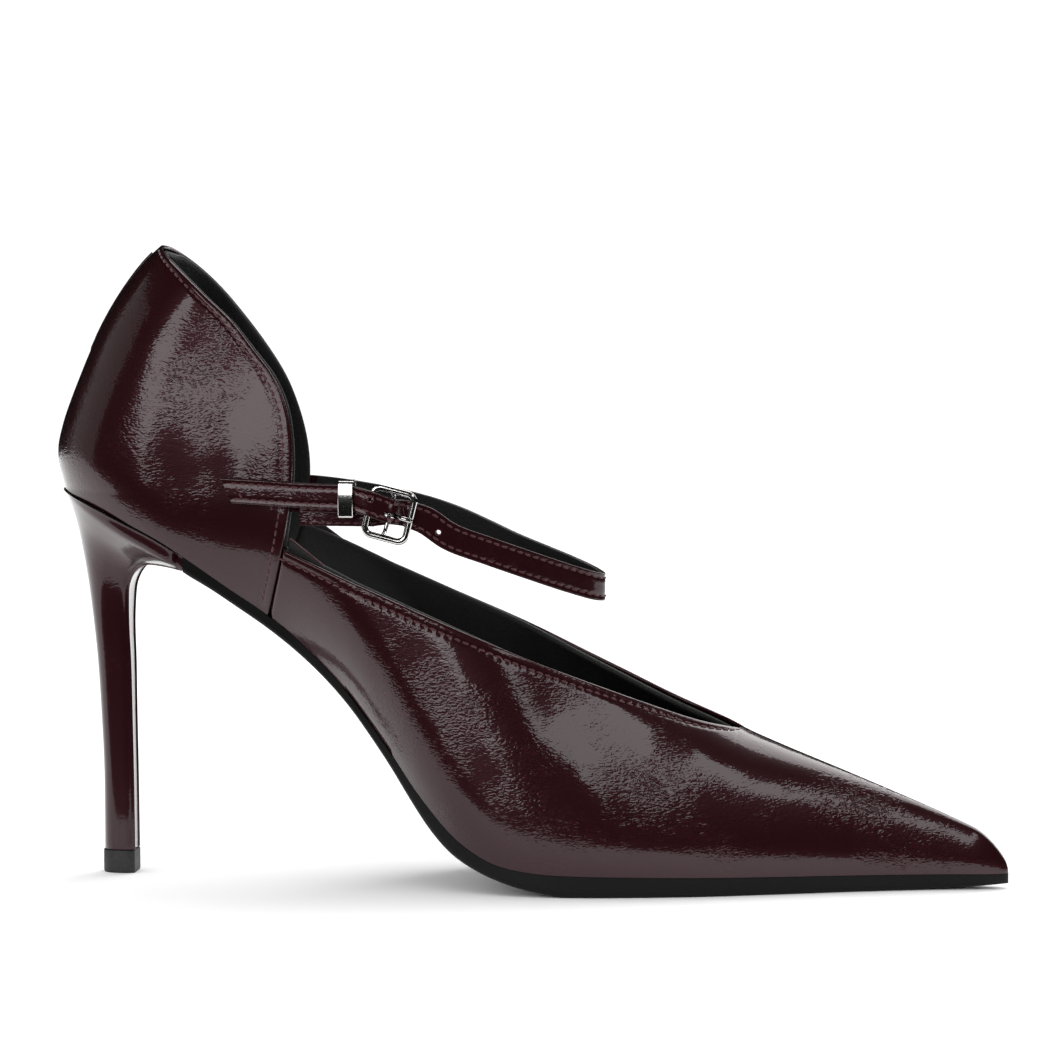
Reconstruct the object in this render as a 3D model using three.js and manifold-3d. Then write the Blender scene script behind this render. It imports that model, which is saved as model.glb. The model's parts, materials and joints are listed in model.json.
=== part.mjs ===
// High heel pump for the right foot, with an instep strap that buckles on the outer side.
// Millimetres. X runs from the heel to the toe, Z is up, and -Y is the outer (lateral) side.
// The origin is the middle of the heel tip's tread, on the ground.
import * as THREE from "three";
import { mergeVertices } from "three/addons/utils/BufferGeometryUtils.js";
import Module from "manifold-3d";

// ---------------------------------------------------------------- driving dimensions

const toeReach = 233.4; // heel tip's middle to the point of the toe
const seatHeight = 101.6; // ground to the back of the heel seat
const breadth = 1; // widths of the last, as a factor on the drawn widths
const leather = 1.0; // outer leather of vamp and quarters
const stiffener = 0.9; // toe puff and heel counter
const lining = 0.7; // lining leather
const gap = 0.3; // clearance between pieces that touch
const lastingMargin = 7; // upper turned in under the insole board
const vampLap = 8; // how far the vamp runs on under the quarters
const board = 1.5; // insole board
const sock = 1.0; // sock lining
const soleEdgeBevel = 1.6; // bevel round the outsole's lower edge
const throat = 164; // where the V of the vamp closes
const breastX = 20.3; // front of the heel seat, where the outsole starts
const heelLeather = 0.7; // leather on the heel
const tipHeight = 6; // heel top piece
const tipOverhang = 0.3; // top piece proud of the heel
const dowelRadius = 1.7;
const pinRadius = 0.9;
const shankHalfWidth = 5.5;
const shankThickness = 1.0;
const strapWidth = 7.2;
const tailWidth = 6.4;
const strapLeather = 0.8;
const strapLiningThickness = 0.6;
const strapLayerGap = 0.3;
const chapeThickness = 0.8;
const strapRootX = 46; // the line across the shoe that the strap swings about
const strapRootZ = 100;
const buckleForward = 30; // middle of the buckle, from that line
const buckleDown = 2;
const buckleTilt = THREE.MathUtils.degToRad(14);
const buckleLength = 11.8; // outside, along the strap
const buckleHeight = 13.2; // outside, across the strap
const buckleWire = 1.3;
const centreBarWire = 1.1;
const barDrop = 2.4; // the centre bar lies this far inside the frame
const prongWire = 0.9;
const keeperWidth = 3.8;
const keeperWall = 0.5;
const keeperForward = 19.4;
const keeperHeight = 9.7;
const rockGap = 0.35; // room for the buckle to rock against the strap

// Outlines are drawn for this reach and seat height, and stretch with the two sizes above.
const drawnReach = 233.4;
const drawnSeat = 101.6;
const groundSole = 5.4;

const LATERAL = -1;
const MEDIAL = 1;
const { clamp, lerp } = THREE.MathUtils;

const wasm = await Module();
wasm.setup();

// ---------------------------------------------------------------- curves

// A smooth curve y(x) through points that never overshoots them (monotone cubic).
function smooth(points) {
  const n = points.length;
  const secant = [];
  for (let i = 0; i < n - 1; i++) {
    secant.push((points[i + 1][1] - points[i][1]) / (points[i + 1][0] - points[i][0]));
  }
  const slope = [secant[0]];
  for (let i = 1; i < n - 1; i++) {
    const [a, b] = [secant[i - 1], secant[i]];
    slope.push(a * b <= 0 ? 0 : (2 * a * b) / (a + b));
  }
  slope.push(secant[n - 2]);
  return (x) => {
    if (x <= points[0][0]) return points[0][1];
    if (x >= points[n - 1][0]) return points[n - 1][1];
    let i = 0;
    while (x > points[i + 1][0]) i++;
    const h = points[i + 1][0] - points[i][0];
    const t = (x - points[i][0]) / h;
    const [t2, t3] = [t * t, t * t * t];
    return (
      (2 * t3 - 3 * t2 + 1) * points[i][1] +
      (t3 - 2 * t2 + t) * h * slope[i] +
      (3 * t2 - 2 * t3) * points[i + 1][1] +
      (t3 - t2) * h * slope[i + 1]
    );
  };
}

const stretch = toeReach / drawnReach;

// How much of a change of seat height a place along the shoe follows: all of it at the heel,
// none of it at the ball.
const follow = smooth([
  [0, 1],
  [24, 0.81],
  [50, 0.6],
  [72, 0.35],
  [95, 0.08],
  [112, 0],
]);
const raise = (x) => (seatHeight - drawnSeat) * follow(x);
const rootX = strapRootX * stretch;

// Drawn points [x, z] of the upper, stretched to the real sizes.
const drawn = (points) => points.map(([x, z]) => [x * stretch, z + raise(x)]);
const along = (points) => points.map(([x, w]) => [x * stretch, w]);
const widths = (points) => points.map(([x, w]) => [x * stretch, w * breadth]);

// Lower edge of the upper, where it meets the sole and the heel seat.
const featherLine = smooth(
  drawn([
    [-14, 101.6],
    [-6, 99],
    [3.4, 95],
    [14, 89.8],
    [24, 82.9],
    [33, 76.3],
    [41.3, 70.6],
    [50, 63.4],
    [61, 52.6],
    [72.5, 38.6],
    [84, 23.7],
    [95, 12.9],
    [106, 7.6],
    [119, 5.9],
    [140, groundSole],
    [196, 4.4],
    [233.4, 4],
  ]),
);

const featherSlope = (x) => featherLine(x + 0.5) - featherLine(x - 0.5);
// Height of a point that lies d above the feather line, measured square to it.
const above = (x, d) => featherLine(x) + d * Math.hypot(1, featherSlope(x));

// Underside of the outsole.
const soleBottom = smooth(
  drawn([
    [20.3, 80.2],
    [26.2, 77.2],
    [34.5, 71.6],
    [42.7, 65.7],
    [51, 58.9],
    [57.6, 52.7],
    [63.7, 46],
    [69.2, 39],
    [75, 31.2],
    [80.6, 23],
    [86.3, 15.5],
    [91.8, 10.2],
    [97, 7],
    [104, 4],
    [113, 1.5],
    [123, 0],
    [198, 0],
    [222, 0.6],
    [233.4, 1.4],
  ]),
);

// Back of the heel counter, x against height.
const backOutline = [
  [-14, 101.6],
  [-14.9, 105],
  [-15.6, 108.2],
  [-15.8, 111.3],
  [-14.6, 117.6],
  [-12.5, 123.9],
  [-10, 130.3],
  [-7.4, 136.6],
  [-4.5, 142.9],
  [-1, 149.2],
  [3.2, 155.5],
  [8, 161.4],
  [11.5, 164.6],
];
const backCurve = smooth(drawn(backOutline).map(([x, z]) => [z, x]));

// Line of the instep: real along the toe, and imagined above the open part of the shoe.
const ridgeLine = smooth(
  drawn([
    [-16, 320],
    [47, 240],
    [61, 200],
    [84, 154],
    [100, 116],
    [120, 76],
    [142, 54.3],
    [154, 47],
    [164, 40.9],
    [173.5, 36.8],
    [190.2, 30.2],
    [206.7, 23.5],
    [215, 20],
    [224, 16],
    [233.4, 11.6],
  ]),
);

const featherWidth = {
  [LATERAL]: smooth(
    widths([
      [-16, 22.5],
      [14, 22.5],
      [24, 20.5],
      [33, 18.2],
      [41, 16.6],
      [50, 15.8],
      [61, 16.8],
      [72.5, 20.5],
      [84, 26],
      [95, 31],
      [106, 34.2],
      [114, 35],
      [125, 34.6],
      [140, 32.2],
      [156, 28.2],
      [176, 20.6],
      [196, 12.6],
      [212, 7.4],
      [224, 4.6],
      [233.4, 3.4],
    ]),
  ),
  [MEDIAL]: smooth(
    widths([
      [-16, 22.5],
      [14, 22],
      [24, 19.3],
      [33, 16.4],
      [41, 14.4],
      [50, 13.4],
      [61, 14],
      [72.5, 17],
      [84, 22],
      [95, 27.8],
      [106, 32.6],
      [118, 35.6],
      [130, 36.2],
      [143, 34.2],
      [156, 30.2],
      [176, 21.5],
      [196, 12.8],
      [212, 7.4],
      [224, 4.6],
      [233.4, 3.4],
    ]),
  ),
};

// How much wider the upper swells above the feather line, and how high that takes.
const swell = {
  [LATERAL]: smooth(
    widths([
      [-16, 2.5],
      [14, 3.5],
      [33, 8.5],
      [50, 13],
      [61, 13.2],
      [72.5, 11],
      [84, 7],
      [95, 4.2],
      [106, 2.6],
      [125, 2],
      [156, 1.4],
      [196, 0.7],
      [233.4, 0.2],
    ]),
  ),
  [MEDIAL]: smooth(
    widths([
      [-16, 2.5],
      [14, 4],
      [33, 10],
      [50, 15],
      [61, 15.8],
      [72.5, 14.2],
      [84, 10.6],
      [95, 7],
      [106, 4.4],
      [125, 2.2],
      [156, 1.4],
      [196, 0.7],
      [233.4, 0.2],
    ]),
  ),
};
const swellHeight = smooth(
  along([
    [-16, 12],
    [14, 14],
    [33, 26],
    [50, 34],
    [72.5, 34],
    [84, 28],
    [106, 16],
    [130, 13],
    [196, 7],
    [233.4, 4],
  ]),
);

const capDepth = 28; // the back of the heel is rounded over this depth
const noseStart = 224 * stretch; // the point of the toe is rounded from here on

const nose = (x) => Math.sqrt(Math.max(0, 1 - clamp((x - noseStart) / (toeReach - noseStart), 0, 1) ** 2));

// Half breadth of the shoe's outer face at a place in the side view.
function halfBreadth(x, z, side) {
  const foot = featherLine(x);
  const crown = foot + (ridgeLine(x) - foot) * nose(x);
  const up = clamp((z - foot) / Math.max(1e-6, crown - foot), 0, 1);
  const swollen = 1 - (1 - clamp((z - foot) / swellHeight(x), 0, 1)) ** 2;
  const width = (featherWidth[side](x) + swell[side](x) * swollen) * nose(x);
  const depth = clamp((x - backCurve(z)) / capDepth, 0, 1);
  const narrowing = 1 - 0.25 * clamp((z - 110 - raise(x)) / 54, 0, 1) ** 2;
  return width * Math.sqrt(1 - up * up) * Math.sqrt(1 - (1 - depth) ** 2) * narrowing;
}

// The same, moved inwards by a distance measured square to the face.
function insetBreadth(x, z, side, inwards) {
  const y = halfBreadth(x, z, side);
  const dx = halfBreadth(x + 0.5, z, side) - halfBreadth(x - 0.5, z, side);
  const dz = halfBreadth(x, z + 0.5, side) - halfBreadth(x, z - 0.5, side);
  return Math.max(0.4, y - inwards * Math.min(3, Math.hypot(1, dx, dz)));
}

const pointOnUpper = (x, z, side) => new THREE.Vector3(x, side * halfBreadth(x, z, side), z);

// ---------------------------------------------------------------- meshes

// Rows of points as an open surface; turned gives the other facing.
function gridSurface(rows, turned) {
  const across = rows[0].length;
  const triangles = [];
  for (let i = 0; i < rows.length - 1; i++) {
    for (let j = 0; j < across - 1; j++) {
      const a = i * across + j;
      const quad = turned ? [a, a + across, a + across + 1, a + 1] : [a, a + 1, a + across + 1, a + across];
      triangles.push([quad[0], quad[1], quad[2]], [quad[0], quad[2], quad[3]]);
    }
  }
  return { points: rows.flat(), triangles };
}

// Several surfaces as one, with points that coincide made one point.
function joinSurfaces(surfaces) {
  const points = [];
  const triangles = [];
  const known = new Map();
  for (const surface of surfaces) {
    const index = surface.points.map((p) => {
      const key = [p.x, p.y, p.z].map((v) => Math.round(v * 1000)).join(",");
      if (!known.has(key)) known.set(key, points.push(p) - 1);
      return known.get(key);
    });
    for (const [a, b, c] of surface.triangles) {
      const t = [index[a], index[b], index[c]];
      if (new Set(t).size === 3) triangles.push(t);
    }
  }
  return { points, triangles };
}

function pointNormals({ points, triangles }) {
  const normals = points.map(() => new THREE.Vector3());
  for (const t of triangles) {
    const [a, b, c] = t.map((i) => points[i]);
    const n = b.clone().sub(a).cross(c.clone().sub(a));
    t.forEach((i) => normals[i].add(n));
  }
  return normals.map((n) => n.normalize());
}

function geometryOf(points, triangles) {
  const geometry = new THREE.BufferGeometry();
  const values = points.flatMap((p) => [p.x, p.y, p.z]);
  geometry.setAttribute("position", new THREE.Float32BufferAttribute(values, 3));
  geometry.setIndex(triangles.flat());
  return geometry;
}

// A closed sheet of material between two depths under an open surface, with its edges walled.
// A depth is a number or a function of the surface's point, and settle may move a point after.
function thicken(surface, outerDepth, innerDepth, settle = (p) => p) {
  const joined = joinSurfaces([surface]);
  const normals = pointNormals(joined);
  const depthAt = (depth, p) => (typeof depth === "function" ? depth(p) : depth);
  const moved = (p, i, depth) => settle(p.clone().addScaledVector(normals[i], -depthAt(depth, p)));
  const offset = (depth) => joined.points.map((p, i) => moved(p, i, depth));
  const count = joined.points.length;
  const triangles = [...joined.triangles];
  joined.triangles.forEach(([a, b, c]) => triangles.push([a + count, c + count, b + count]));
  const edges = new Map();
  for (const [a, b, c] of joined.triangles) {
    [[a, b], [b, c], [c, a]].forEach(([p, q]) => edges.set(p + "_" + q, [p, q]));
  }
  for (const [p, q] of edges.values()) {
    if (!edges.has(q + "_" + p)) triangles.push([q, p, p + count], [q, p + count, q + count]);
  }
  return geometryOf([...offset(outerDepth), ...offset(innerDepth)], triangles);
}

// A closed body through a row of closed sections with the same number of points.
function loft(sections, closedPath = false) {
  const size = sections[0].length;
  const points = sections.flat();
  const triangles = [];
  const runs = closedPath ? sections.length : sections.length - 1;
  for (let i = 0; i < runs; i++) {
    const next = ((i + 1) % sections.length) * size;
    for (let j = 0; j < size; j++) {
      const k = (j + 1) % size;
      triangles.push([i * size + j, next + j, next + k], [i * size + j, next + k, i * size + k]);
    }
  }
  if (!closedPath) {
    const last = (sections.length - 1) * size;
    const middle = (section) => section.reduce((s, p) => s.add(p), new THREE.Vector3()).divideScalar(size);
    const first = points.push(middle(sections[0])) - 1;
    const end = points.push(middle(sections.at(-1))) - 1;
    for (let j = 0; j < size; j++) {
      const k = (j + 1) % size;
      triangles.push([first, j, k], [end, last + k, last + j]);
    }
  }
  return facingOut(geometryOf(points, triangles));
}

function solidOf(geometry) {
  const bare = geometry.clone();
  bare.deleteAttribute("normal");
  bare.deleteAttribute("uv");
  const merged = mergeVertices(bare, 1e-4);
  const solid = new wasm.Manifold(
    new wasm.Mesh({
      numProp: 3,
      vertProperties: merged.attributes.position.array,
      triVerts: new Uint32Array(merged.index.array),
    }),
  );
  return solid;
}

function geometryFrom(solid) {
  const mesh = solid.getMesh();
  const geometry = new THREE.BufferGeometry();
  geometry.setAttribute("position", new THREE.Float32BufferAttribute(mesh.vertProperties, 3));
  geometry.setIndex(new THREE.Uint32BufferAttribute(mesh.triVerts, 1));
  return geometry;
}

const cut = (geometry, tools) =>
  geometryFrom(tools.reduce((solid, tool) => solid.subtract(solidOf(tool)), solidOf(geometry)));
const unite = (geometries) => geometryFrom(geometries.map(solidOf).reduce((a, b) => a.add(b)));

// The same body with its faces pointing outwards.
function facingOut(geometry) {
  const { array } = geometry.attributes.position;
  const index = geometry.index.array;
  const corner = (i) => new THREE.Vector3().fromArray(array, 3 * index[i]);
  let volume = 0;
  for (let i = 0; i < index.length; i += 3) volume += corner(i).dot(corner(i + 1).cross(corner(i + 2)));
  if (volume < 0) {
    for (let i = 0; i < index.length; i += 3) [index[i + 1], index[i + 2]] = [index[i + 2], index[i + 1]];
  }
  return geometry;
}

// A turned solid on the Z axis from radius and height pairs, starting and ending on the axis.
function turned(profile, sides = 12) {
  const lathe = new THREE.LatheGeometry(profile.map(([r, z]) => new THREE.Vector2(r, z)), sides);
  lathe.deleteAttribute("normal");
  lathe.deleteAttribute("uv");
  return facingOut(mergeVertices(lathe.rotateX(Math.PI / 2), 1e-4));
}
const rod = (radius, z0, z1, sides) => turned([[0, z0], [radius, z0], [radius, z1], [0, z1]], sides);

// The place on the insole at x, with its own Z square to the feather line.
function seatFrame(x, y = 0) {
  const turn = -Math.atan(featherSlope(x));
  return new THREE.Matrix4()
    .makeTranslation(x, y, featherLine(x))
    .multiply(new THREE.Matrix4().makeRotationY(turn));
}

const group = new THREE.Group();

const patent = { color: 0x2c1213, roughness: 0.25, metalness: 0 };
const blackLeather = { color: 0x1b1817, roughness: 0.6, metalness: 0 };
const blackRubber = { color: 0x111111, roughness: 0.7, metalness: 0 };
const nickel = { color: 0xb9bab8, roughness: 0.15, metalness: 1 };
const steel = { color: 0x8d9196, roughness: 0.35, metalness: 1 };
const cellulose = { color: 0xb79d74, roughness: 0.9, metalness: 0 };
const cork = { color: 0xa87c4f, roughness: 0.95, metalness: 0 };
const stiff = { color: 0xd8d2c4, roughness: 0.85, metalness: 0 };
const plastic = { color: 0x4a4642, roughness: 0.5, metalness: 0 };

function add(name, geometry, finish) {
  const mesh = new THREE.Mesh(geometry, new THREE.MeshStandardMaterial(finish));
  mesh.name = name;
  group.add(mesh);
}

// ---------------------------------------------------------------- upper

// Front edge and topline of a quarter in one line, from the feather line up to the peak.
const frontLine = {
  [LATERAL]: [
    [41.8, 70.1],
    [45.6, 82],
    [48.5, 94.2],
    [50, 106.7],
    [49.6, 118.9],
    [47.9, 126.3],
    [44.7, 132.6],
    [39, 139.6],
    [33.5, 146.2],
    [26.7, 152.3],
    [19.6, 158.4],
    [11.5, 164.6],
  ],
  [MEDIAL]: [
    [37.8, 73],
    [41.6, 83],
    [44.2, 94],
    [45.4, 103],
    [45, 111],
    [43.2, 119.6],
    [40, 128.6],
    [35, 137.2],
    [27, 148.1],
    [20.3, 155.9],
    [11.5, 164.6],
  ],
};

function quarterCurve(side) {
  const points = drawn(frontLine[side]).map(([x, z]) => new THREE.Vector2(x, z));
  points[0].y = featherLine(points[0].x);
  return new THREE.SplineCurve(points);
}

// Side view place of a quarter's point: u runs from the back to the front, v from the sole up.
function quarterPlace(front, u, v) {
  const backFoot = drawn([backOutline[0]])[0];
  const peak = drawn([backOutline.at(-1)])[0];
  const backZ = lerp(backFoot[1], peak[1], v);
  const [backX, end, frontFoot] = [backCurve(backZ), front.getPointAt(v), front.getPointAt(0)];
  const soleX = lerp(backFoot[0], frontFoot.x, u);
  const drop = featherLine(soleX) - lerp(backFoot[1], frontFoot.y, u);
  return [lerp(backX, end.x, u), lerp(backZ, end.y, u) + drop * (1 - v) ** 1.5];
}

// One side of the heel part of the upper.
// Every layer uses the same rows and columns, of which it may take only the first ones.
const quarterRows = 12;
const quarterColumns = 11;
function quarterSurface(
  side,
  { rows = quarterRows, columns = quarterColumns, seam = 0, turnedIn = 0, lift = 0 },
) {
  const front = quarterCurve(side);
  const grid = [];
  for (let i = 0; i <= rows; i++) {
    const v = i / quarterRows;
    const row = [];
    for (let j = 0; j <= columns; j++) {
      const u = 1 - Math.cos((j / quarterColumns) * (Math.PI / 2));
      const [x, z] = quarterPlace(front, u, v);
      const raised = Math.max(z, lift ? above(x, lift) : z);
      const p = pointOnUpper(x, raised, side);
      p.y += side * seam;
      row.push(p);
    }
    grid.push(row);
  }
  if (turnedIn) {
    const seatMiddle = 14 * stretch;
    const inner = grid[0].map((p) => {
      const inwards = new THREE.Vector3(Math.max(p.x, seatMiddle) - p.x, -p.y, 0);
      const room = inwards.length() - shankHalfWidth - 2 * gap;
      const q = p.clone().addScaledVector(inwards.normalize(), Math.min(turnedIn, room));
      return q.setZ(featherLine(q.x));
    });
    grid.unshift(inner);
  }
  return gridSurface(grid, side === MEDIAL);
}

// Rear edge of the vamp at a height, under the quarter's front edge.
function frontEdgeX(side, z) {
  const edge = smooth(drawn(frontLine[side].slice(0, 4)).map(([x, h]) => [h, x]));
  return edge(z);
}

// Topline of the vamp: an open edge back to the quarters.
const vampTopline = smooth(
  drawn([
    [30, 94.5],
    [38, 91.3],
    [47.4, 87.6],
    [54.2, 84.7],
    [63, 81],
    [76.8, 75.2],
    [84.2, 72],
    [99.5, 65.7],
    [119.7, 57.2],
    [131, 52.6],
    [142.5, 48],
    [153.8, 43.9],
    [164, 40.9],
  ]),
);
const throatX = throat * stretch;

// Angle up the section at x, whose sine is the height as a share of the instep's.
function vampTop(x) {
  if (x >= throatX) return Math.PI / 2;
  const foot = featherLine(x);
  return Math.asin(clamp((vampTopline(x) - foot) / (ridgeLine(x) - foot), 0, 1));
}

function vampPoint(x, angle, side) {
  const foot = featherLine(x);
  const z = foot + (ridgeLine(x) - foot) * nose(x) * Math.sin(angle);
  const p = pointOnUpper(x, z, side);
  if (angle > Math.PI / 2 - 1e-6) p.y = 0;
  return p;
}

// One side of the forepart. fromEdge lists distances ahead of the quarter's front edge that each
// get a row of points; the part behind the edge starts clear of the insole board.
function vampSurface(
  side,
  { fromEdge, toX, rows = 8, rearSteps = 22, toeSteps = 13, turnedIn = 0, lift = 0 },
) {
  const stations = fromEdge ? fromEdge.map((distance) => ({ distance, share: 0 })) : [];
  for (let i = 1; fromEdge && i < rearSteps; i++) {
    stations.push({ distance: fromEdge.at(-1), share: i / rearSteps });
  }
  const startX = fromEdge ? throatX : toX[0];
  const endX = toX.at(-1);
  for (let i = 0; i <= toeSteps; i++) {
    const t = endX >= toeReach ? Math.sin((i / toeSteps) * (Math.PI / 2)) : i / toeSteps;
    stations.push({ x: lerp(startX, endX, t) });
  }
  const edge = drawn(frontLine[side]);
  const [edgeFoot, edgeTop] = [edge[0][1], vampTopline(edge[2][0])];
  const grid = stations.map(({ distance, share, x: fixed }) => {
    const column = [];
    for (let j = 0; j <= rows; j++) {
      const v = j / rows;
      const lap = distance < 0 ? clamp((v - 0.375) * 8, 0, 1) : 1;
      const ahead = distance < 0 ? lerp(stepStart, distance, lap) : distance;
      const x = fixed ?? lerp(frontEdgeX(side, lerp(edgeFoot, edgeTop, v)) + ahead, throatX, share);
      const foot = featherLine(x);
      const height = (ridgeLine(x) - foot) * nose(x);
      const low = lift && height > 0 ? Math.asin(clamp((above(x, lift) - foot) / height, 0, 0.9)) : 0;
      column.push(vampPoint(x, lerp(low, vampTop(x), v), side));
    }
    if (turnedIn) {
      const p = column[0];
      const room = Math.abs(p.y) - shankHalfWidth - 2 * gap;
      const fade = clamp((212 * stretch - p.x) / 12, 0, 1);
      const inwards = Math.max(0, Math.min(turnedIn, room)) * fade;
      column.unshift(new THREE.Vector3(p.x, p.y - side * inwards, p.z));
    }
    return column;
  });
  return gridSurface(grid, side === LATERAL);
}

const both = (make) => joinSurfaces([make(LATERAL), make(MEDIAL)]);

const stiffDepth = leather + gap;
const liningDepth = stiffDepth + stiffener + gap;
const boardBottom = leather + gap;
const boardTop = boardBottom + board;

// The leather thins towards the point of the toe, where the lasted edges fold together.
const toeThinning = (x) => lerp(1, 0.3, clamp((x - 200 * stretch) / 24, 0, 1));
// Under the quarters the vamp steps inwards by one leather thickness.
const stepStart = 1.2;
const stepEnd = 3.2;
const lapSkive = 0.7; // the hidden lap is pared down to this share of the leather
function vampStep(p) {
  const side = p.y < 0 ? LATERAL : MEDIAL;
  const ahead = p.x - frontEdgeX(side, p.z);
  const clearOfBoard = clamp((p.z - above(p.x, boardTop)) / 2, 0, 1);
  return stiffDepth * clearOfBoard * (1 - clamp((ahead - stepStart) / (stepEnd - stepStart), 0, 1));
}

add(
  "vamp",
  thicken(
    both((side) =>
      vampSurface(side, {
        fromEdge: [-vampLap, -vampLap / 2, stepStart, stepEnd],
        toX: [toeReach],
        turnedIn: lastingMargin,
      }),
    ),
    vampStep,
    (p) => vampStep(p) + leather * toeThinning(p.x) * (vampStep(p) > 0 ? lapSkive : 1),
  ),
  patent,
);

for (const [name, side] of [["quarter_lateral", LATERAL], ["quarter_medial", MEDIAL]]) {
  const besideSeam = (p) => p.setY(side * Math.max(gap / 2, side * p.y));
  const surface = quarterSurface(side, { seam: gap / 2, turnedIn: lastingMargin });
  add(name, thicken(surface, 0, leather, besideSeam), patent);
}

add(
  "quarter_lining",
  thicken(
    both((side) => quarterSurface(side, { lift: boardTop + gap })),
    liningDepth,
    liningDepth + lining,
  ),
  blackLeather,
);

add(
  "heel_counter",
  thicken(
    both((side) => quarterSurface(side, { rows: 7, columns: 8, lift: boardTop + gap })),
    stiffDepth,
    stiffDepth + stiffener,
  ),
  stiff,
);

add(
  "vamp_lining",
  thicken(
    both((side) =>
      vampSurface(side, {
        fromEdge: [4 * gap],
        toX: [204 * stretch],
        rows: 6,
        rearSteps: 16,
        toeSteps: 5,
        lift: boardTop + 2 * gap,
      }),
    ),
    liningDepth,
    liningDepth + lining,
  ),
  blackLeather,
);

const puffReach = [180 * stretch, 211 * stretch];
add(
  "toe_puff",
  thicken(
    both((side) =>
      vampSurface(side, { toX: puffReach, rows: 6, toeSteps: 6, lift: boardTop + gap }),
    ),
    stiffDepth + 0.1,
    stiffDepth + stiffener,
  ),
  stiff,
);

// ---------------------------------------------------------------- bottom

// A closed strip that follows the feather line; each section is a list of [y, z] round it.
const strip = (stations, section) =>
  loft(stations.map((x) => section(x).map(([y, z]) => new THREE.Vector3(x, y, z))));

function stationsBetween(from, to, count) {
  return Array.from({ length: count + 1 }, (_, i) => lerp(from, to, i / count));
}

// Stations a fixed pitch apart, so that layers on each other bend at the same places.
const stationPitch = 5.5;
function seatStations(from, to) {
  const inner = [];
  for (let k = Math.floor(from / stationPitch) + 1; k * stationPitch < to - 0.5; k++) {
    if (k * stationPitch > from + 0.5) inner.push(k * stationPitch);
  }
  return [from, ...inner, to];
}

// A flat layer inside the upper, from depth low to high above the feather line.
function layer(from, to, low, high, inwards) {
  return strip(seatStations(from, to), (x) => {
    const [zLow, zHigh] = [above(x, low), above(x, high)];
    const room = (side, z) => insetBreadth(x, z, side, inwards);
    const left = Math.min(room(LATERAL, zLow), room(LATERAL, zHigh));
    const right = Math.min(room(MEDIAL, zLow), room(MEDIAL, zHigh));
    return [
      [-left, zHigh],
      [-left, zLow],
      [right, zLow],
      [right, zHigh],
    ];
  });
}

const boardStart = backCurve(featherLine(-14 * stretch)) + leather + 2 * gap;
const screwX = 3;
const nailPlaces = [
  [-1, -8.5],
  [-1, 8.5],
  [11, -12],
  [11, 12],
];
const rivetPlaces = [34 * stretch, 70 * stretch];
const placedAt = (geometry, x, y = 0) => geometry.applyMatrix4(seatFrame(x, y));

const nailRadius = 0.9;
const nailHead = 2;
const screwRadius = 2;
const screwHead = 3.6;
const headHeight = 0.9;
const rivetRadius = 1.4;
const rivetHead = 2.5;
const headBottom = boardTop - headHeight;

// Holes through the board for a fastener: its shank, and its head let into the top.
const boardHole = (radius, head, x, y) => [
  placedAt(rod(radius + gap, -3, boardTop + 3), x, y),
  placedAt(rod(head + gap, headBottom - gap, boardTop + 3), x, y),
];

add(
  "insole_board",
  cut(layer(boardStart, 214 * stretch, boardBottom, boardTop, leather + gap), [
    ...boardHole(screwRadius, screwHead, screwX, 0),
    ...nailPlaces.flatMap(([x, y]) => boardHole(nailRadius, nailHead, x, y)),
    ...rivetPlaces.flatMap((x) => boardHole(rivetRadius, rivetHead, x, 0)),
  ]),
  cellulose,
);

const sockBottom = boardTop + gap;
const lineInside = liningDepth + lining + gap;
add(
  "sock_lining",
  layer(boardStart + 3, 203 * stretch, sockBottom, sockBottom + sock, lineInside),
  blackLeather,
);

const shankFrom = -2;
const shankTo = 88 * stretch;
add(
  "shank_steel",
  cut(
    strip(seatStations(shankFrom, shankTo), (x) => [
      [-shankHalfWidth, above(x, shankThickness)],
      [-shankHalfWidth, above(x, 0)],
      [shankHalfWidth, above(x, 0)],
      [shankHalfWidth, above(x, shankThickness)],
    ]),
    [
      placedAt(rod(screwRadius + gap, -3, 5), screwX),
      ...rivetPlaces.map((x) => placedAt(rod(rivetRadius + gap, -3, 5), x)),
    ],
  ),
  steel,
);

rivetPlaces.forEach((x, i) => {
  const rivet = turned([
    [0, 0.1],
    [rivetRadius, 0.1],
    [rivetRadius, headBottom],
    [rivetHead, headBottom],
    [rivetHead, boardTop - 0.1],
    [0, boardTop - 0.1],
  ]);
  add(i ? "shank_rivet_front" : "shank_rivet_rear", placedAt(rivet, x), steel);
});

add(
  "bottom_filler",
  strip(seatStations(shankTo + 2, 200 * stretch), (x) => {
    const side = (s) => Math.max(1, featherWidth[s](x) - lastingMargin - 1.2);
    return [
      [-side(LATERAL), above(x, leather)],
      [-side(LATERAL), above(x, 0)],
      [side(MEDIAL), above(x, 0)],
      [side(MEDIAL), above(x, leather)],
    ];
  }),
  cork,
);

// The outsole is flush with the upper, with a bevel round its lower edge.
const flatFrom = 123 * stretch;
const flatTo = 198 * stretch;
const soleStations = [
  ...seatStations(breastX + gap, flatFrom),
  ...seatStations(flatFrom, flatTo).slice(1),
  ...[0.3, 0.55, 0.75, 0.88, 0.96, 0.995].map((t) => lerp(flatTo, toeReach, t)),
];
add(
  "outsole",
  strip(soleStations, (x) => {
    const top = above(x, -gap);
    const bottom = soleBottom(x);
    const edge = lerp(bottom, top, 0.3);
    const [left, right] = [LATERAL, MEDIAL].map((side) => halfBreadth(x, featherLine(x), side));
    const bevel = Math.min(soleEdgeBevel, 0.45 * Math.min(left, right));
    return [
      [-left, top],
      [-left, edge],
      [-left + bevel, bottom],
      [right - bevel, bottom],
      [right, edge],
      [right, top],
    ];
  }),
  blackRubber,
);

// ---------------------------------------------------------------- heel

const heelFoot = (tipHeight + gap) / seatHeight;

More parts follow.
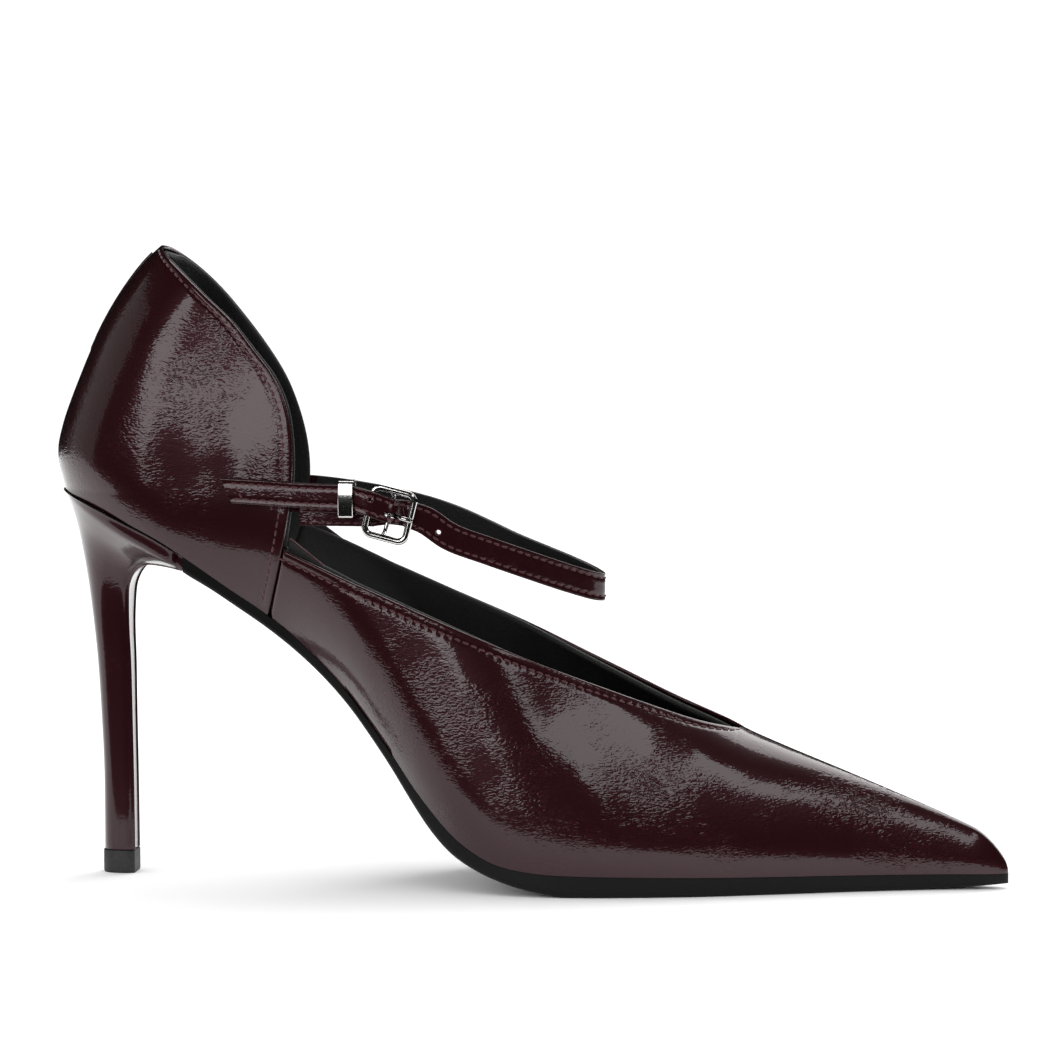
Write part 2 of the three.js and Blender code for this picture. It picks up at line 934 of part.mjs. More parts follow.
// The heel as rings from the tip up to the seat: the back and the front point of each, as
// [x, height as a share of the seat height], and the half width between them.
const heelRows = [
  { back: [-4.2, heelFoot], front: [4.1, heelFoot], width: 4.2 },
  { back: [-4.3, 0.246], front: [3.9, 0.246], width: 4.2 },
  { back: [-5, 0.413], front: [3.6, 0.413], width: 4.3 },
  { back: [-5.8, 0.541], front: [3.4, 0.541], width: 4.7 },
  { back: [-7, 0.66], front: [3, 0.65], width: 5.4 },
  { back: [-8.4, 0.768], front: [3.2, 0.733], width: 6.8 },
  { back: [-9.6, 0.837], front: [5.4, 0.786], width: 9 },
  { back: [-10.8, 0.896], front: [9.6, 0.805], width: 12.5 },
  { back: [-12.4, 0.95], front: [15, 0.801], width: 17 },
  { back: [-13.6, 0.984], front: [breastX - 0.2, 0.79], width: 20.8 },
  { back: [-14.1, 0.996], front: [breastX, 0.833], width: 22 },
];
const heelCurve = (pick) => smooth(heelRows.map((row, i) => [i / (heelRows.length - 1), pick(row)]));
const heelBackX = heelCurve((row) => row.back[0]);
const heelBackZ = heelCurve((row) => row.back[1] * seatHeight);
const heelFrontX = heelCurve((row) => row.front[0]);
const heelFrontZ = heelCurve((row) => row.front[1] * seatHeight);
const heelWidth = heelCurve((row) => row.width * breadth);

const underSeat = (x) => above(x, -2 * gap);
const belowSeat = (p) => p.setZ(Math.min(p.z, underSeat(p.x)));

// A point of the heel's ring: up runs from the tip to the seat, round from -1 at the outer
// front corner through 0 at the back to 1 at the inner front corner.
function heelPoint(up, round) {
  const share = Math.abs(round);
  const widest = lerp(0.5, 0.66, up ** 3);
  const rounded = widest * (1 - Math.cos((share / 0.6) * (Math.PI / 2)));
  const s = share < 0.6 ? rounded : lerp(widest, 1, (share - 0.6) / 0.4);
  const front = clamp((s - widest) / (1 - widest), 0, 1);
  const bow = s < widest ? Math.sqrt(1 - (1 - s / widest) ** 2) : (1 - front ** 5) ** 0.2;
  const corner = 0.86;
  const half = heelWidth(up) * (share < 0.6 ? bow : Math.max(bow, corner));
  const x = lerp(heelBackX(up), heelFrontX(up), s);
  const chord = lerp(heelBackZ(up), heelFrontZ(up), s);
  const seat = underSeat(x) - chord;
  return new THREE.Vector3(x, Math.sign(round) * half, chord + seat * up ** 10);
}

const heelLevels = 18;
const heelBackSteps = 16;
const levelShares = stationsBetween(0, 1, heelLevels);
const coverRounds = stationsBetween(-1, 1, heelBackSteps);

const coverRows = levelShares.map((up) => coverRounds.map((r) => heelPoint(up, r)));
add("heel_cover", thicken(gridSurface(coverRows, true), 0, heelLeather, belowSeat), patent);

const breastLevels = stationsBetween(0, 0.9, heelLevels);
const breastRow = (up) => {
  const corner = heelPoint(up, 1);
  const half = corner.y - heelLeather - gap;
  return stationsBetween(-half, half, 4).map((y) => new THREE.Vector3(corner.x, y, corner.z));
};
add("heel_breast_cover", thicken(gridSurface(breastLevels.map(breastRow), false), 0, heelLeather), patent);

const dowelFoot = new THREE.Vector3(-0.1, 0, tipHeight + 2 * gap);
const dowelHead = new THREE.Vector3(-1.6, 0, 0.69 * seatHeight);
const dowelLength = dowelHead.distanceTo(dowelFoot);
const dowelFrame = new THREE.Matrix4()
  .makeTranslation(dowelFoot)
  .multiply(
    new THREE.Matrix4().makeRotationFromQuaternion(
      new THREE.Quaternion().setFromUnitVectors(
        new THREE.Vector3(0, 0, 1),
        dowelHead.clone().sub(dowelFoot).normalize(),
      ),
    ),
  );
const pinReach = 12;
const screwLength = 16;
const nailLength = 6;
const blockInwards = heelLeather + gap;

// A whole ring of the heel at a level, ending with the front face's points.
function heelRing(up) {
  const round = coverRounds.map((r) => heelPoint(up, r));
  const [outer, inner] = [round[0], round.at(-1)];
  return [...round, ...[0.25, 0.5, 0.75].map((t) => inner.clone().lerp(outer, t))];
}
// The rings moved inwards by a distance, mitred at the two front corners.
function heelRingsInside(inwards) {
  const rings = levelShares.map(heelRing);
  const closed = gridSurface(rings.map((ring) => [...ring, ring[0]]), true);
  const size = rings[0].length;
  const normals = pointNormals(closed);
  return rings.map((ring, i) =>
    ring.map((p, j) => {
      const at = i * (size + 1) + j;
      const normal = normals[at].clone();
      if (j === 0) normal.add(normals[at + size]).normalize();
      const atCorner = j === 0 || j === heelBackSteps;
      return belowSeat(p.clone().addScaledVector(normal, -inwards * (atCorner ? 1.5 : 1)));
    }),
  );
}

add(
  "heel_block",
  cut(loft(heelRingsInside(blockInwards)), [
    rod(dowelRadius + gap, -5, dowelLength + gap).applyMatrix4(dowelFrame),
    placedAt(rod(screwRadius + gap, -screwLength - gap, 5), screwX),
    ...nailPlaces.map(([x, y]) => placedAt(rod(nailRadius + gap, -nailLength - gap, 5), x, y)),
  ]),
  plastic,
);

const boreDepth = pinReach + gap;
add(
  "heel_dowel",
  turned([
    [0, boreDepth],
    [pinRadius + gap, boreDepth],
    [pinRadius + gap, 0],
    [dowelRadius, 0],
    [dowelRadius, dowelLength],
    [0, dowelLength],
  ]).applyMatrix4(dowelFrame),
  steel,
);

const tipSpread = 1 + tipOverhang / heelWidth(0);
const tipOutline = heelRing(0).map((p) => new THREE.Vector3(p.x * tipSpread, p.y * tipSpread, 0));
const pinFoot = 2;
const pinFrame = dowelFrame.clone().setPosition(dowelFoot.x, 0, 0);
add(
  "top_piece",
  cut(loft([0, tipHeight].map((z) => tipOutline.map((p) => p.clone().setZ(z)))), [
    rod(pinRadius + gap, pinFoot - gap, 2 * tipHeight).applyMatrix4(pinFrame),
  ]),
  blackRubber,
);
add("top_piece_pin", rod(pinRadius, pinFoot, tipHeight + pinReach).applyMatrix4(pinFrame), steel);

const headTop = boardTop - 0.1;
add(
  "heel_screw",
  placedAt(
    turned([
      [0, -screwLength],
      [0.6 * screwRadius, -screwLength],
      [screwRadius, 3 - screwLength],
      [screwRadius, headBottom],
      [screwHead, headBottom],
      [screwHead, headTop],
      [0, headTop],
    ]),
    screwX,
  ),
  steel,
);
nailPlaces.forEach(([x, y], i) => {
  const nail = turned([
    [0, -nailLength],
    [nailRadius, 2 - nailLength],
    [nailRadius, headBottom],
    [nailHead, headBottom],
    [nailHead, headTop],
    [0, headTop],
  ]);
  add("heel_nail_" + (i + 1), placedAt(nail, x, y), steel);
});

// ---------------------------------------------------------------- side tabs

// A lining tab that bridges the corner between a quarter's front edge and the vamp's topline.
const tabLength = 9;
const tabRise = 3.4;
const tabTuck = 3.5;
for (const [name, side] of [["side_tab_lateral", LATERAL], ["side_tab_medial", MEDIAL]]) {
  const cornerX = frontEdgeX(side, vampTopline(rootX)) + stepEnd + 2 * gap;
  const rows = stationsBetween(0, 1, 4).map((u) => {
    const x = cornerX + tabLength * u;
    const top = vampTopline(x) + lerp(tabRise, 0.4, u);
    return stationsBetween(vampTopline(x) - tabTuck, top, 3).map((z) => pointOnUpper(x, z, side));
  });
  add(name, thicken(gridSurface(rows, side === LATERAL), stiffDepth, stiffDepth + stiffener), blackLeather);
}

// ---------------------------------------------------------------- strap and buckle

// Distances out from the middle plane on the outer side, one layer over the other.
const buckleX = rootX + buckleForward;
const buckleZ = strapRootZ - buckleDown;
const keeperX = rootX + keeperForward;
const quarterFace = halfBreadth(rootX + 4, strapRootZ + raise(rootX), LATERAL);
const chapeBackOuter = quarterFace - gap;
const keeperBackInner = chapeBackOuter + gap + keeperWall;
const chapeFrontMiddle = keeperBackInner + gap + chapeThickness / 2;
const frameOut = chapeFrontMiddle + chapeThickness / 2 + rockGap + buckleWire / 2;
const barOut = frameOut - barDrop;
const foldRadius = centreBarWire / 2 + gap + chapeThickness / 2;
const strapThickness = strapLeather + strapLayerGap + strapLiningThickness;
const strapOverBar = barOut + foldRadius + chapeThickness / 2 + 2 * gap + strapThickness;
const strapOverFrame = frameOut + buckleWire / 2 + rockGap + strapThickness;
const strapUnderFrame = frameOut - buckleWire / 2 - rockGap;
const strapInKeeper = strapOverFrame - 0.9;
const tailGap = 0.6;

const inBuckle = (forward, up = 0) => [
  buckleX + forward * Math.cos(buckleTilt) + up * Math.sin(buckleTilt),
  buckleZ - forward * Math.sin(buckleTilt) + up * Math.cos(buckleTilt),
];
const barPitch = (buckleLength - buckleWire) / 2;
const onQuarter = (x, z) => halfBreadth(x, z + raise(x), LATERAL) + tailGap + strapThickness;
const inQuarter = (x, z) => insetBreadth(x, z + raise(x), MEDIAL, stiffDepth);

// Middle of the strap's outer face, from its root under the inner quarter, round the instep
// and through the buckle to its tail: [x, y, z, width, lean].
const strapCrosses = [-barPitch, 0, 1.4, barPitch].map((forward) => inBuckle(forward, 1.1));
const [overFrame, overBar, beforeBar, underFrame] = strapCrosses;
const overInstep = [
  [10.3, 28.2, -2.1],
  [21, 27.8, -3.8],
  [31.8, 26.6, -6.1],
  [40.3, 24.6, -8.6],
  [48.4, 21.6, -11.6],
  [56.7, 17.5, -14.7],
  [65, 13, -17.3],
  [73.5, 7.8, -19.9],
  [80.2, 2.8, -22.2],
  [82.4, -1, -23],
  [80.6, -4.6, -22.5],
  [75, -9.2, -20.4],
  [65.3, -15.8, -16.4],
  [54.7, -22, -12],
  [45.5, -26.8, -8],
];
const alongTail = [
  [11, 6, 2.4, 0.9],
  [4, 4, 2.6, 0],
  [-4, -4, 3, 0],
  [-12.5, -12.5, 3.3, 0],
];
const strapRoute = [
  [rootX - 7, inQuarter(rootX - 7, strapRootZ), strapRootZ - 0.2, strapWidth],
  [rootX, inQuarter(rootX, strapRootZ), strapRootZ - 0.8, strapWidth],
  ...overInstep.map(([x, y, z]) => [rootX + x, y * breadth, strapRootZ + z, strapWidth]),
  [underFrame[0] + 4, -strapUnderFrame + 1, underFrame[1] - 1.5, strapWidth],
  [underFrame[0], -strapUnderFrame, underFrame[1], lerp(strapWidth, tailWidth, 0.4)],
  [underFrame[0] - 1.2, -strapUnderFrame - 0.1, underFrame[1] + 0.4, lerp(strapWidth, tailWidth, 0.6)],
  [beforeBar[0], -strapOverBar, beforeBar[1], tailWidth],
  [overBar[0], -strapOverBar, overBar[1], tailWidth],
  [overFrame[0], -strapOverFrame, overFrame[1] + 0.6, tailWidth],
  [keeperX, -strapInKeeper, strapRootZ + 2.2, tailWidth],
  ...alongTail.map(([x, beside, z, proud]) => [
    rootX + x,
    -onQuarter(rootX + beside, strapRootZ + z) - proud,
    strapRootZ + z,
    tailWidth,
  ]),
].map(([x, y, z, w]) => [x, y, z + raise(x), w]);

// A flat band whose outer face follows a route, between two depths under that face. It runs
// from share to share of the route, and slant cuts its far end on the cross.
function band(route, { depth = [0, 1], from = 0, to = 1, steps = 60, slant = 0 }) {
  const points = route.map(([x, y, z]) => new THREE.Vector3(x, y, z));
  const curve = new THREE.CatmullRomCurve3(points, false, "centripetal");
  const knots = route.length - 1;
  const valueAt = (t, place) => {
    const i = Math.min(knots - 1, Math.floor(t * knots));
    return lerp(route[i][place] ?? 0, route[i + 1][place] ?? 0, t * knots - i);
  };
  return loft(
    stationsBetween(from, to, steps).map((share, i) => {
      const t = curve.getUtoTmapping(share);
      const middle = curve.getPoint(t);
      const tangent = curve.getTangent(t);
      const lean = valueAt(t, 4);
      const upright = new THREE.Vector3(Math.sin(lean), 0, Math.cos(lean));
      const across = upright.clone().addScaledVector(tangent, -tangent.dot(upright)).normalize();
      const outwards = across.clone().cross(tangent).normalize();
      const half = valueAt(t, 3) / 2;
      const skew = i === steps ? slant : 0;
      const corner = (up, deep) =>
        middle
          .clone()
          .addScaledVector(across, up * half)
          .addScaledVector(tangent, up * skew)
          .addScaledVector(outwards, -deep);
      return [corner(-1, depth[0]), corner(1, depth[0]), corner(1, depth[1]), corner(-1, depth[1])];
    }),
  );
}

const buckleFrame = new THREE.Matrix4()
  .makeTranslation(buckleX, 0, buckleZ + raise(buckleX))
  .multiply(new THREE.Matrix4().makeRotationY(buckleTilt));
const block = (forward0, forward1, up0, up1) => {
  const box = new THREE.BoxGeometry(forward1 - forward0, 60, up1 - up0);
  box.translate((forward0 + forward1) / 2, -30, (up0 + up1) / 2);
  return box.applyMatrix4(buckleFrame);
};

const strapHole = { from: -0.8, to: 4.2, half: 1 };
const prongHole = block(strapHole.from, strapHole.to, -strapHole.half, strapHole.half);
const spareHoleRadius = 0.6;
const spareHole = (x, z) =>
  rod(spareHoleRadius, -60, 0, 10)
    .rotateX(-Math.PI / 2)
    .translate(x, 0, z + raise(x));
const spareHoles = [
  [buckleX + 12.6, buckleZ - 4.8],
  [buckleX - 4.1, buckleZ + 3.9],
].map(([x, z]) => spareHole(x, z));
const strapDepths = [0, strapLeather];
const liningDepths = [strapLeather + strapLayerGap, strapThickness];
const strapSteps = 84;
const rootSteps = 7; // steps of the strap that lie in the quarter, where it has no lining
const tailSlant = 1.6;
const strapHoles = [prongHole, ...spareHoles];
const strapBand = band(strapRoute, { depth: strapDepths, steps: strapSteps, slant: tailSlant });
const liningBand = band(strapRoute, {
  depth: liningDepths,
  from: rootSteps / strapSteps,
  steps: strapSteps - rootSteps,
  slant: tailSlant,
});
add("strap", cut(strapBand, strapHoles), patent);
add("strap_lining", cut(liningBand, strapHoles), blackLeather);

// The chape: from its root under the outer quarter forward through the keeper, round the
// centre bar, and back on the inside. [x, y, z, width, lean] down the middle of its thickness.
const [barX] = inBuckle(0);
const inOuterQuarter = (x) =>
  insetBreadth(x, strapRootZ + raise(x), LATERAL, stiffDepth) - chapeThickness / 2;
const chapeFrontZ = strapRootZ + 1;
const chapeBackZ = strapRootZ - 1.4;
const chapeFrontWidth = 6;
const chapeBackWidth = 8.4;
const foldWidth = 6;
const fold = [90, 50, 0, -50, -90].map((degrees) => {
  const a = THREE.MathUtils.degToRad(degrees);
  const middle = lerp(0.8, 0, (90 - degrees) / 180);
  const [x, z] = inBuckle(foldRadius * Math.cos(a), middle);
  return [x, -barOut - foldRadius * Math.sin(a), z, foldWidth, buckleTilt];
});
const chapeBackMiddle = chapeBackOuter - chapeThickness / 2;
const chapeRoute = [
  [rootX - 2, -inOuterQuarter(rootX - 2), chapeFrontZ - 0.4, chapeFrontWidth],
  [rootX + 3.5, -inOuterQuarter(rootX + 3.5), chapeFrontZ - 0.2, chapeFrontWidth],
  [rootX + 8, -chapeFrontMiddle + 0.9, chapeFrontZ, chapeFrontWidth],
  [keeperX - 5, -chapeFrontMiddle, chapeFrontZ, chapeFrontWidth],
  [keeperX + 2, -chapeFrontMiddle, chapeFrontZ - 0.2, chapeFrontWidth],
  [barX - 5, -chapeFrontMiddle, chapeFrontZ - 0.8, chapeFrontWidth, buckleTilt / 2],
  ...fold,
  [barX - 4, -chapeBackMiddle - 0.2, chapeBackZ, chapeBackWidth, buckleTilt / 2],
  [keeperX + 2, -chapeBackMiddle, chapeBackZ, chapeBackWidth],
  [keeperX - 5, -chapeBackMiddle, chapeBackZ, chapeBackWidth],
  [rootX + 6.5, -chapeBackMiddle + 0.7, chapeBackZ, chapeBackWidth],
].map(([x, y, z, w, lean = 0]) => [x, y, z + raise(x), w, lean]);
const prongSlot = { from: -3.2, to: 4, half: 1.3 };
add(
  "buckle_chape",
  cut(band(chapeRoute, { depth: [-chapeThickness / 2, chapeThickness / 2], steps: 64 }), [
    block(prongSlot.from, prongSlot.to, -prongSlot.half, prongSlot.half),
  ]),
  patent,
);

// A round wire along a path of points, with its sections turned about a fixed direction.
function wire(points, radius, side, sides = 8, closedPath = false) {
  const n = points.length;
  const sections = points.map((p, i) => {
    const before = closedPath ? points[(i + n - 1) % n] : points[Math.max(0, i - 1)];
    const after = closedPath ? points[(i + 1) % n] : points[Math.min(n - 1, i + 1)];
    const tangent = after.clone().sub(before).normalize();
    const other = tangent.clone().cross(side).normalize();
    return Array.from({ length: sides }, (_, k) => {
      const a = ((k + 0.5) / sides) * 2 * Math.PI;
      const reach = side.clone().multiplyScalar(radius * Math.cos(a));
      return p.clone().add(reach).addScaledVector(other, radius * Math.sin(a));
    });
  });
  return loft(sections, closedPath);
}

// In the buckle's own frame: X forward along the strap, Y inwards, Z across the strap.
const buckleCorner = 2.6;
const cornerSteps = 4;
const frameRoute = [];
for (const [sx, sz, start] of [[1, 1, 0], [-1, 1, 1], [-1, -1, 2], [1, -1, 3]]) {
  for (let k = 0; k <= cornerSteps; k++) {
    const a = (start + k / cornerSteps) * (Math.PI / 2);
    const inX = sx * (buckleLength / 2 - buckleWire / 2 - buckleCorner);
    const inZ = sz * (buckleHeight / 2 - buckleWire / 2 - buckleCorner);
    frameRoute.push(
      new THREE.Vector3(inX + buckleCorner * Math.cos(a), -frameOut, inZ + buckleCorner * Math.sin(a)),
    );
  }
}
const barReach = (buckleHeight - buckleWire) / 2;
const barRoute = [
  [-frameOut, barReach],
  [-frameOut + 0.4 * barDrop, barReach - 0.5],
  [-barOut, barReach - 1.3],
  [-barOut, 1.3 - barReach],
  [-frameOut + 0.4 * barDrop, 0.5 - barReach],
  [-frameOut, -barReach],
].map(([y, z]) => new THREE.Vector3(0, y, z));
const yAxis = new THREE.Vector3(0, 1, 0);
const xAxis = new THREE.Vector3(1, 0, 0);
const zAxis = new THREE.Vector3(0, 0, 1);
add(
  "buckle_frame",
  unite([
    wire(frameRoute, buckleWire / 2, yAxis, 8, true),
    wire(barRoute, centreBarWire / 2, xAxis),
  ]).applyMatrix4(buckleFrame),
  nickel,
);

const prongRing = centreBarWire / 2 + 0.2 + prongWire / 2;
const ringRoute = stationsBetween(0, 330 / 360, 11).map((turn) => {
  const a = turn * 2 * Math.PI;
  return new THREE.Vector3(prongRing * Math.cos(a), -barOut + prongRing * Math.sin(a), 0);
});
const prongRest = frameOut + buckleWire / 2 + 0.2 + prongWire / 2;
const prongRoute = [
  [0, barOut + prongRing],
  [0.9, barOut + prongRing + 0.05],
  [2.4, lerp(barOut + prongRing, prongRest, 0.55)],
  [4.2, prongRest],
  [barPitch + 1, prongRest],
].map(([f, out]) => new THREE.Vector3(f, -out, 0));
add(
  "buckle_prong",
  unite([ringRoute, prongRoute].map((route) => wire(route, prongWire / 2, zAxis))).applyMatrix4(buckleFrame),
  nickel,
);

// The keeper: a rounded flat loop round the chape's front layer and the strap's tail.
function loopShape(halfDepth, halfHeight, corner) {
  const shape = new THREE.Shape();
  for (const [sx, sy, start] of [[1, 1, 0], [-1, 1, 1], [-1, -1, 2], [1, -1, 3]]) {
    for (let k = 0; k <= 3; k++) {
      const a = (start + k / 3) * (Math.PI / 2);
      const x = sx * (halfDepth - corner) + corner * Math.cos(a);
      const y = sy * (halfHeight - corner) + corner * Math.sin(a);
      if (start === 0 && k === 0) shape.moveTo(x, y);
      else shape.lineTo(x, y);
    }
  }
  return shape;
}
const keeperFrontInner = strapInKeeper + gap + 0.25;
const keeperHalfDepth = (keeperFrontInner + keeperWall - keeperBackInner + keeperWall) / 2;
const keeperMiddle = (keeperFrontInner + keeperBackInner) / 2;
const keeperShape = loopShape(keeperHalfDepth, keeperHeight / 2, 1);
keeperShape.holes.push(loopShape(keeperHalfDepth - keeperWall, keeperHeight / 2 - keeperWall, 0.5));
const keeperSolid = new THREE.ExtrudeGeometry(keeperShape, { depth: keeperWidth, bevelEnabled: false });
keeperSolid.translate(0, 0, -keeperWidth / 2);
const keeperZ = strapRootZ + 1.8;
const keeperFrame = new THREE.Matrix4().makeBasis(yAxis, zAxis, xAxis);
keeperFrame.setPosition(keeperX, -keeperMiddle, keeperZ + raise(keeperX));
keeperSolid.applyMatrix4(keeperFrame);
add("strap_keeper", keeperSolid, nickel);

export default group;
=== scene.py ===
# %% [markdown]
# # A stiletto pump in patent leather
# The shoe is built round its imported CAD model, which stands here as a fixed frame of nodes.
# Every leather, lining, sole and metal piece is made again as a fine surface in the same place,
# and the pieces hidden inside keep their CAD shape and only get a material.

# %% Load the frame
import json

import bmesh
import bpy
import numpy as np
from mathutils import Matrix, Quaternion, Vector


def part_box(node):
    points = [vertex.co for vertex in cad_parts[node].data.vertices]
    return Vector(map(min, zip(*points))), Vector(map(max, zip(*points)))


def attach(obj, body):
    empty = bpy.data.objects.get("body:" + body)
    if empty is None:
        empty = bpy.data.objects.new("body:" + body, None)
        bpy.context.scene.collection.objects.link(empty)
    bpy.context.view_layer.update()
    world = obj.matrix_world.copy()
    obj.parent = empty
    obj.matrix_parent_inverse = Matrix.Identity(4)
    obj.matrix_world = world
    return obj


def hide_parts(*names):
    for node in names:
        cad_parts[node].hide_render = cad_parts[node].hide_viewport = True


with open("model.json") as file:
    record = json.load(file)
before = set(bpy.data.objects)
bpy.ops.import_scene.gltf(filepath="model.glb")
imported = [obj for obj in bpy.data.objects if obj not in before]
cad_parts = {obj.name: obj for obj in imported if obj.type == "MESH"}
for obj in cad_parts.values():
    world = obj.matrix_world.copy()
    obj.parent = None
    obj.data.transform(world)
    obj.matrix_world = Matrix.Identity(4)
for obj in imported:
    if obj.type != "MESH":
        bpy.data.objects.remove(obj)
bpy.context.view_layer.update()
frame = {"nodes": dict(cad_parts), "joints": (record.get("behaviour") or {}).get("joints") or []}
MM = 0.001

# %% [markdown]
# ## Curves
# A last maker draws a shoe as a few lines in side view and a few widths. Each is a smooth curve
# through listed points. A plain spline would swing past them, so the slope at each point is
# the harmonic mean of its neighbours' slopes, which never overshoots. The curve is then read at
# close steps and softened a little, because patent leather shows every change of curvature.

# %% Curves through points
LATERAL, MEDIAL = -1, 1  # outer side of the foot is -Y, inner side +Y
SIDES = ((LATERAL, "lateral"), (MEDIAL, "medial"))


def lerp(a, b, t):
    """Value a share t of the way from a to b."""
    return a + (b - a) * t


def unit(vectors):
    """Vectors brought to length one, along the last axis."""
    return vectors / np.linalg.norm(vectors, axis=-1, keepdims=True)


def run_along(points):
    """Length of the line through the points, from its start to each of them."""
    return np.r_[0, np.cumsum(np.linalg.norm(np.diff(points, axis=0), axis=1))]


def read_at(at, length, values):
    """Each column of the values, read at places of a length."""
    return np.stack([np.interp(at, length, column) for column in values.T], axis=-1)


def smooth(points, soften=0.0):
    """Monotone cubic through (x, y) points, averaged over a bell of half width soften."""
    x, y = np.array(points, float).T
    step = np.diff(x)
    secant = np.diff(y) / step
    slope = np.r_[secant[0], np.zeros(len(x) - 2), secant[-1]]
    product = secant[:-1] * secant[1:]
    total = secant[:-1] + secant[1:]
    rising = product > 0
    slope[1:-1][rising] = 2 * product[rising] / total[rising]
    fine = np.linspace(x[0], x[-1], 2401)
    i = np.clip(np.searchsorted(x, fine, side="right") - 1, 0, len(step) - 1)
    t = (fine - x[i]) / step[i]
    value = (
        (2 * t**3 - 3 * t**2 + 1) * y[i]
        + (t**3 - 2 * t**2 + t) * step[i] * slope[i]
        + (3 * t**2 - 2 * t**3) * y[i + 1]
        + (t**3 - t**2) * step[i] * slope[i + 1]
    )
    if soften:
        reach = int(3 * soften / (fine[1] - fine[0]))
        bell = np.exp(-0.5 * (3 * np.arange(-reach, reach + 1) / reach) ** 2)
        before = 2 * value[0] - value[reach:0:-1]
        after = 2 * value[-1] - value[-2 : -reach - 2 : -1]
        value = np.convolve(np.r_[before, value, after], bell / bell.sum(), mode="valid")
    return lambda v: np.interp(v, fine, value)


feather_line = smooth([
    (-14, 101.6), (-6, 99), (3.4, 95), (14, 89.8), (24, 82.9), (33, 76.3), (41.3, 70.6), (50, 63.4),
    (61, 52.6), (72.5, 38.6), (84, 23.7), (95, 12.9), (106, 7.6), (119, 5.9), (140, 5.4),
    (196, 4.4), (233.4, 4),
], 2)
sole_bottom = smooth([
    (20.3, 80.2), (26.2, 77.2), (34.5, 71.6), (42.7, 65.7), (51, 58.9), (57.6, 52.7), (63.7, 46),
    (69.2, 39), (75, 31.2), (80.6, 23), (86.3, 15.5), (91.8, 10.2), (97, 7), (104, 4), (113, 1.5),
    (123, 0), (198, 0), (222, 0.6), (233.4, 1.4),
], 1)
back_curve = smooth([
    (101.6, -14), (105, -14.9), (108.2, -15.6), (111.3, -15.8), (117.6, -14.6), (123.9, -12.5),
    (130.3, -10), (136.6, -7.4), (142.9, -4.5), (149.2, -1), (155.5, 3.2), (161.4, 8), (164.6, 11.5),
], 1)
ridge_line = smooth([
    (-16, 320), (47, 240), (61, 200), (84, 154), (100, 116), (120, 76), (142, 54.3), (154, 47),
    (164, 40.9), (173.5, 36.8), (190.2, 30.2), (206.7, 23.5), (215, 20), (224, 16), (233.4, 11.6),
], 1.5)
vamp_topline = smooth([
    (30, 94.5), (38, 91.3), (47.4, 87.6), (54.2, 84.7), (63, 81), (76.8, 75.2), (84.2, 72),
    (99.5, 65.7), (119.7, 57.2), (131, 52.6), (142.5, 48), (153.8, 43.9), (164, 40.9),
], 2)
print("feather line at the seat, waist and ball:", feather_line([0, 61, 140]).round(1))

# %% [markdown]
# ## Breadth
# Seen from above the shoe has one half breadth at the feather line, where the upper meets the
# sole, and swells above it. A cross-section is a quarter of an ellipse on each side, so one
# formula gives the breadth at any place of the side view, and every layer can be laid by it.

# %% The outer face of the upper
feather_width = {
    LATERAL: smooth([
        (-16, 22.5), (14, 22.5), (24, 20.5), (33, 18.2), (41, 16.6), (50, 15.8), (61, 16.8),
        (72.5, 20.5), (84, 26), (95, 31), (106, 34.2), (114, 35), (125, 34.6), (140, 32.2),
        (156, 28.2), (176, 20.6), (196, 12.6), (212, 7.4), (224, 4.6), (233.4, 3.4),
    ], 3),
    MEDIAL: smooth([
        (-16, 22.5), (14, 22), (24, 19.3), (33, 16.4), (41, 14.4), (50, 13.4), (61, 14),
        (72.5, 17), (84, 22), (95, 27.8), (106, 32.6), (118, 35.6), (130, 36.2), (143, 34.2),
        (156, 30.2), (176, 21.5), (196, 12.8), (212, 7.4), (224, 4.6), (233.4, 3.4),
    ], 3),
}
swell = {
    LATERAL: smooth([
        (-16, 2.5), (14, 3.5), (33, 8.5), (50, 13), (61, 13.2), (72.5, 11), (84, 7), (95, 4.2),
        (106, 2.6), (125, 2), (156, 1.4), (196, 0.7), (233.4, 0.2),
    ], 3),
    MEDIAL: smooth([
        (-16, 2.5), (14, 4), (33, 10), (50, 15), (61, 15.8), (72.5, 14.2), (84, 10.6), (95, 7),
        (106, 4.4), (125, 2.2), (156, 1.4), (196, 0.7), (233.4, 0.2),
    ], 3),
}
swell_height = smooth([
    (-16, 12), (14, 14), (33, 26), (50, 34), (72.5, 34), (84, 28), (106, 16), (130, 13),
    (196, 7), (233.4, 4),
], 3)
CAP_DEPTH = 28  # the back of the heel is rounded over this depth
TOE = 233.4
NOSE_START = 224
THROAT = 164  # where the topline's two sides meet
NARROWING, NARROW_FROM, NARROW_OVER = 0.25, 110, 54  # how far the heel part closes in at its top


def nose(x):
    """A quarter circle from one to none, over the last few millimetres of the toe."""
    return np.sqrt(np.maximum(0, 1 - np.clip((x - NOSE_START) / (TOE - NOSE_START), 0, 1) ** 2))


def half_breadth(x, z, side):
    """Width and swell at x, times the ellipse of the section, the round back and the narrow top."""
    foot = feather_line(x)
    crown = foot + (ridge_line(x) - foot) * nose(x)
    up = np.clip((z - foot) / np.maximum(1e-6, crown - foot), 0, 1)
    swollen = 1 - (1 - np.clip((z - foot) / swell_height(x), 0, 1)) ** 2
    width = (feather_width[side](x) + swell[side](x) * swollen) * nose(x)
    depth = np.clip((x - back_curve(z)) / CAP_DEPTH, 0, 1)
    narrowing = 1 - NARROWING * np.clip((z - NARROW_FROM) / NARROW_OVER, 0, 1) ** 2
    return width * np.sqrt(1 - up**2) * np.sqrt(1 - (1 - depth) ** 2) * narrowing


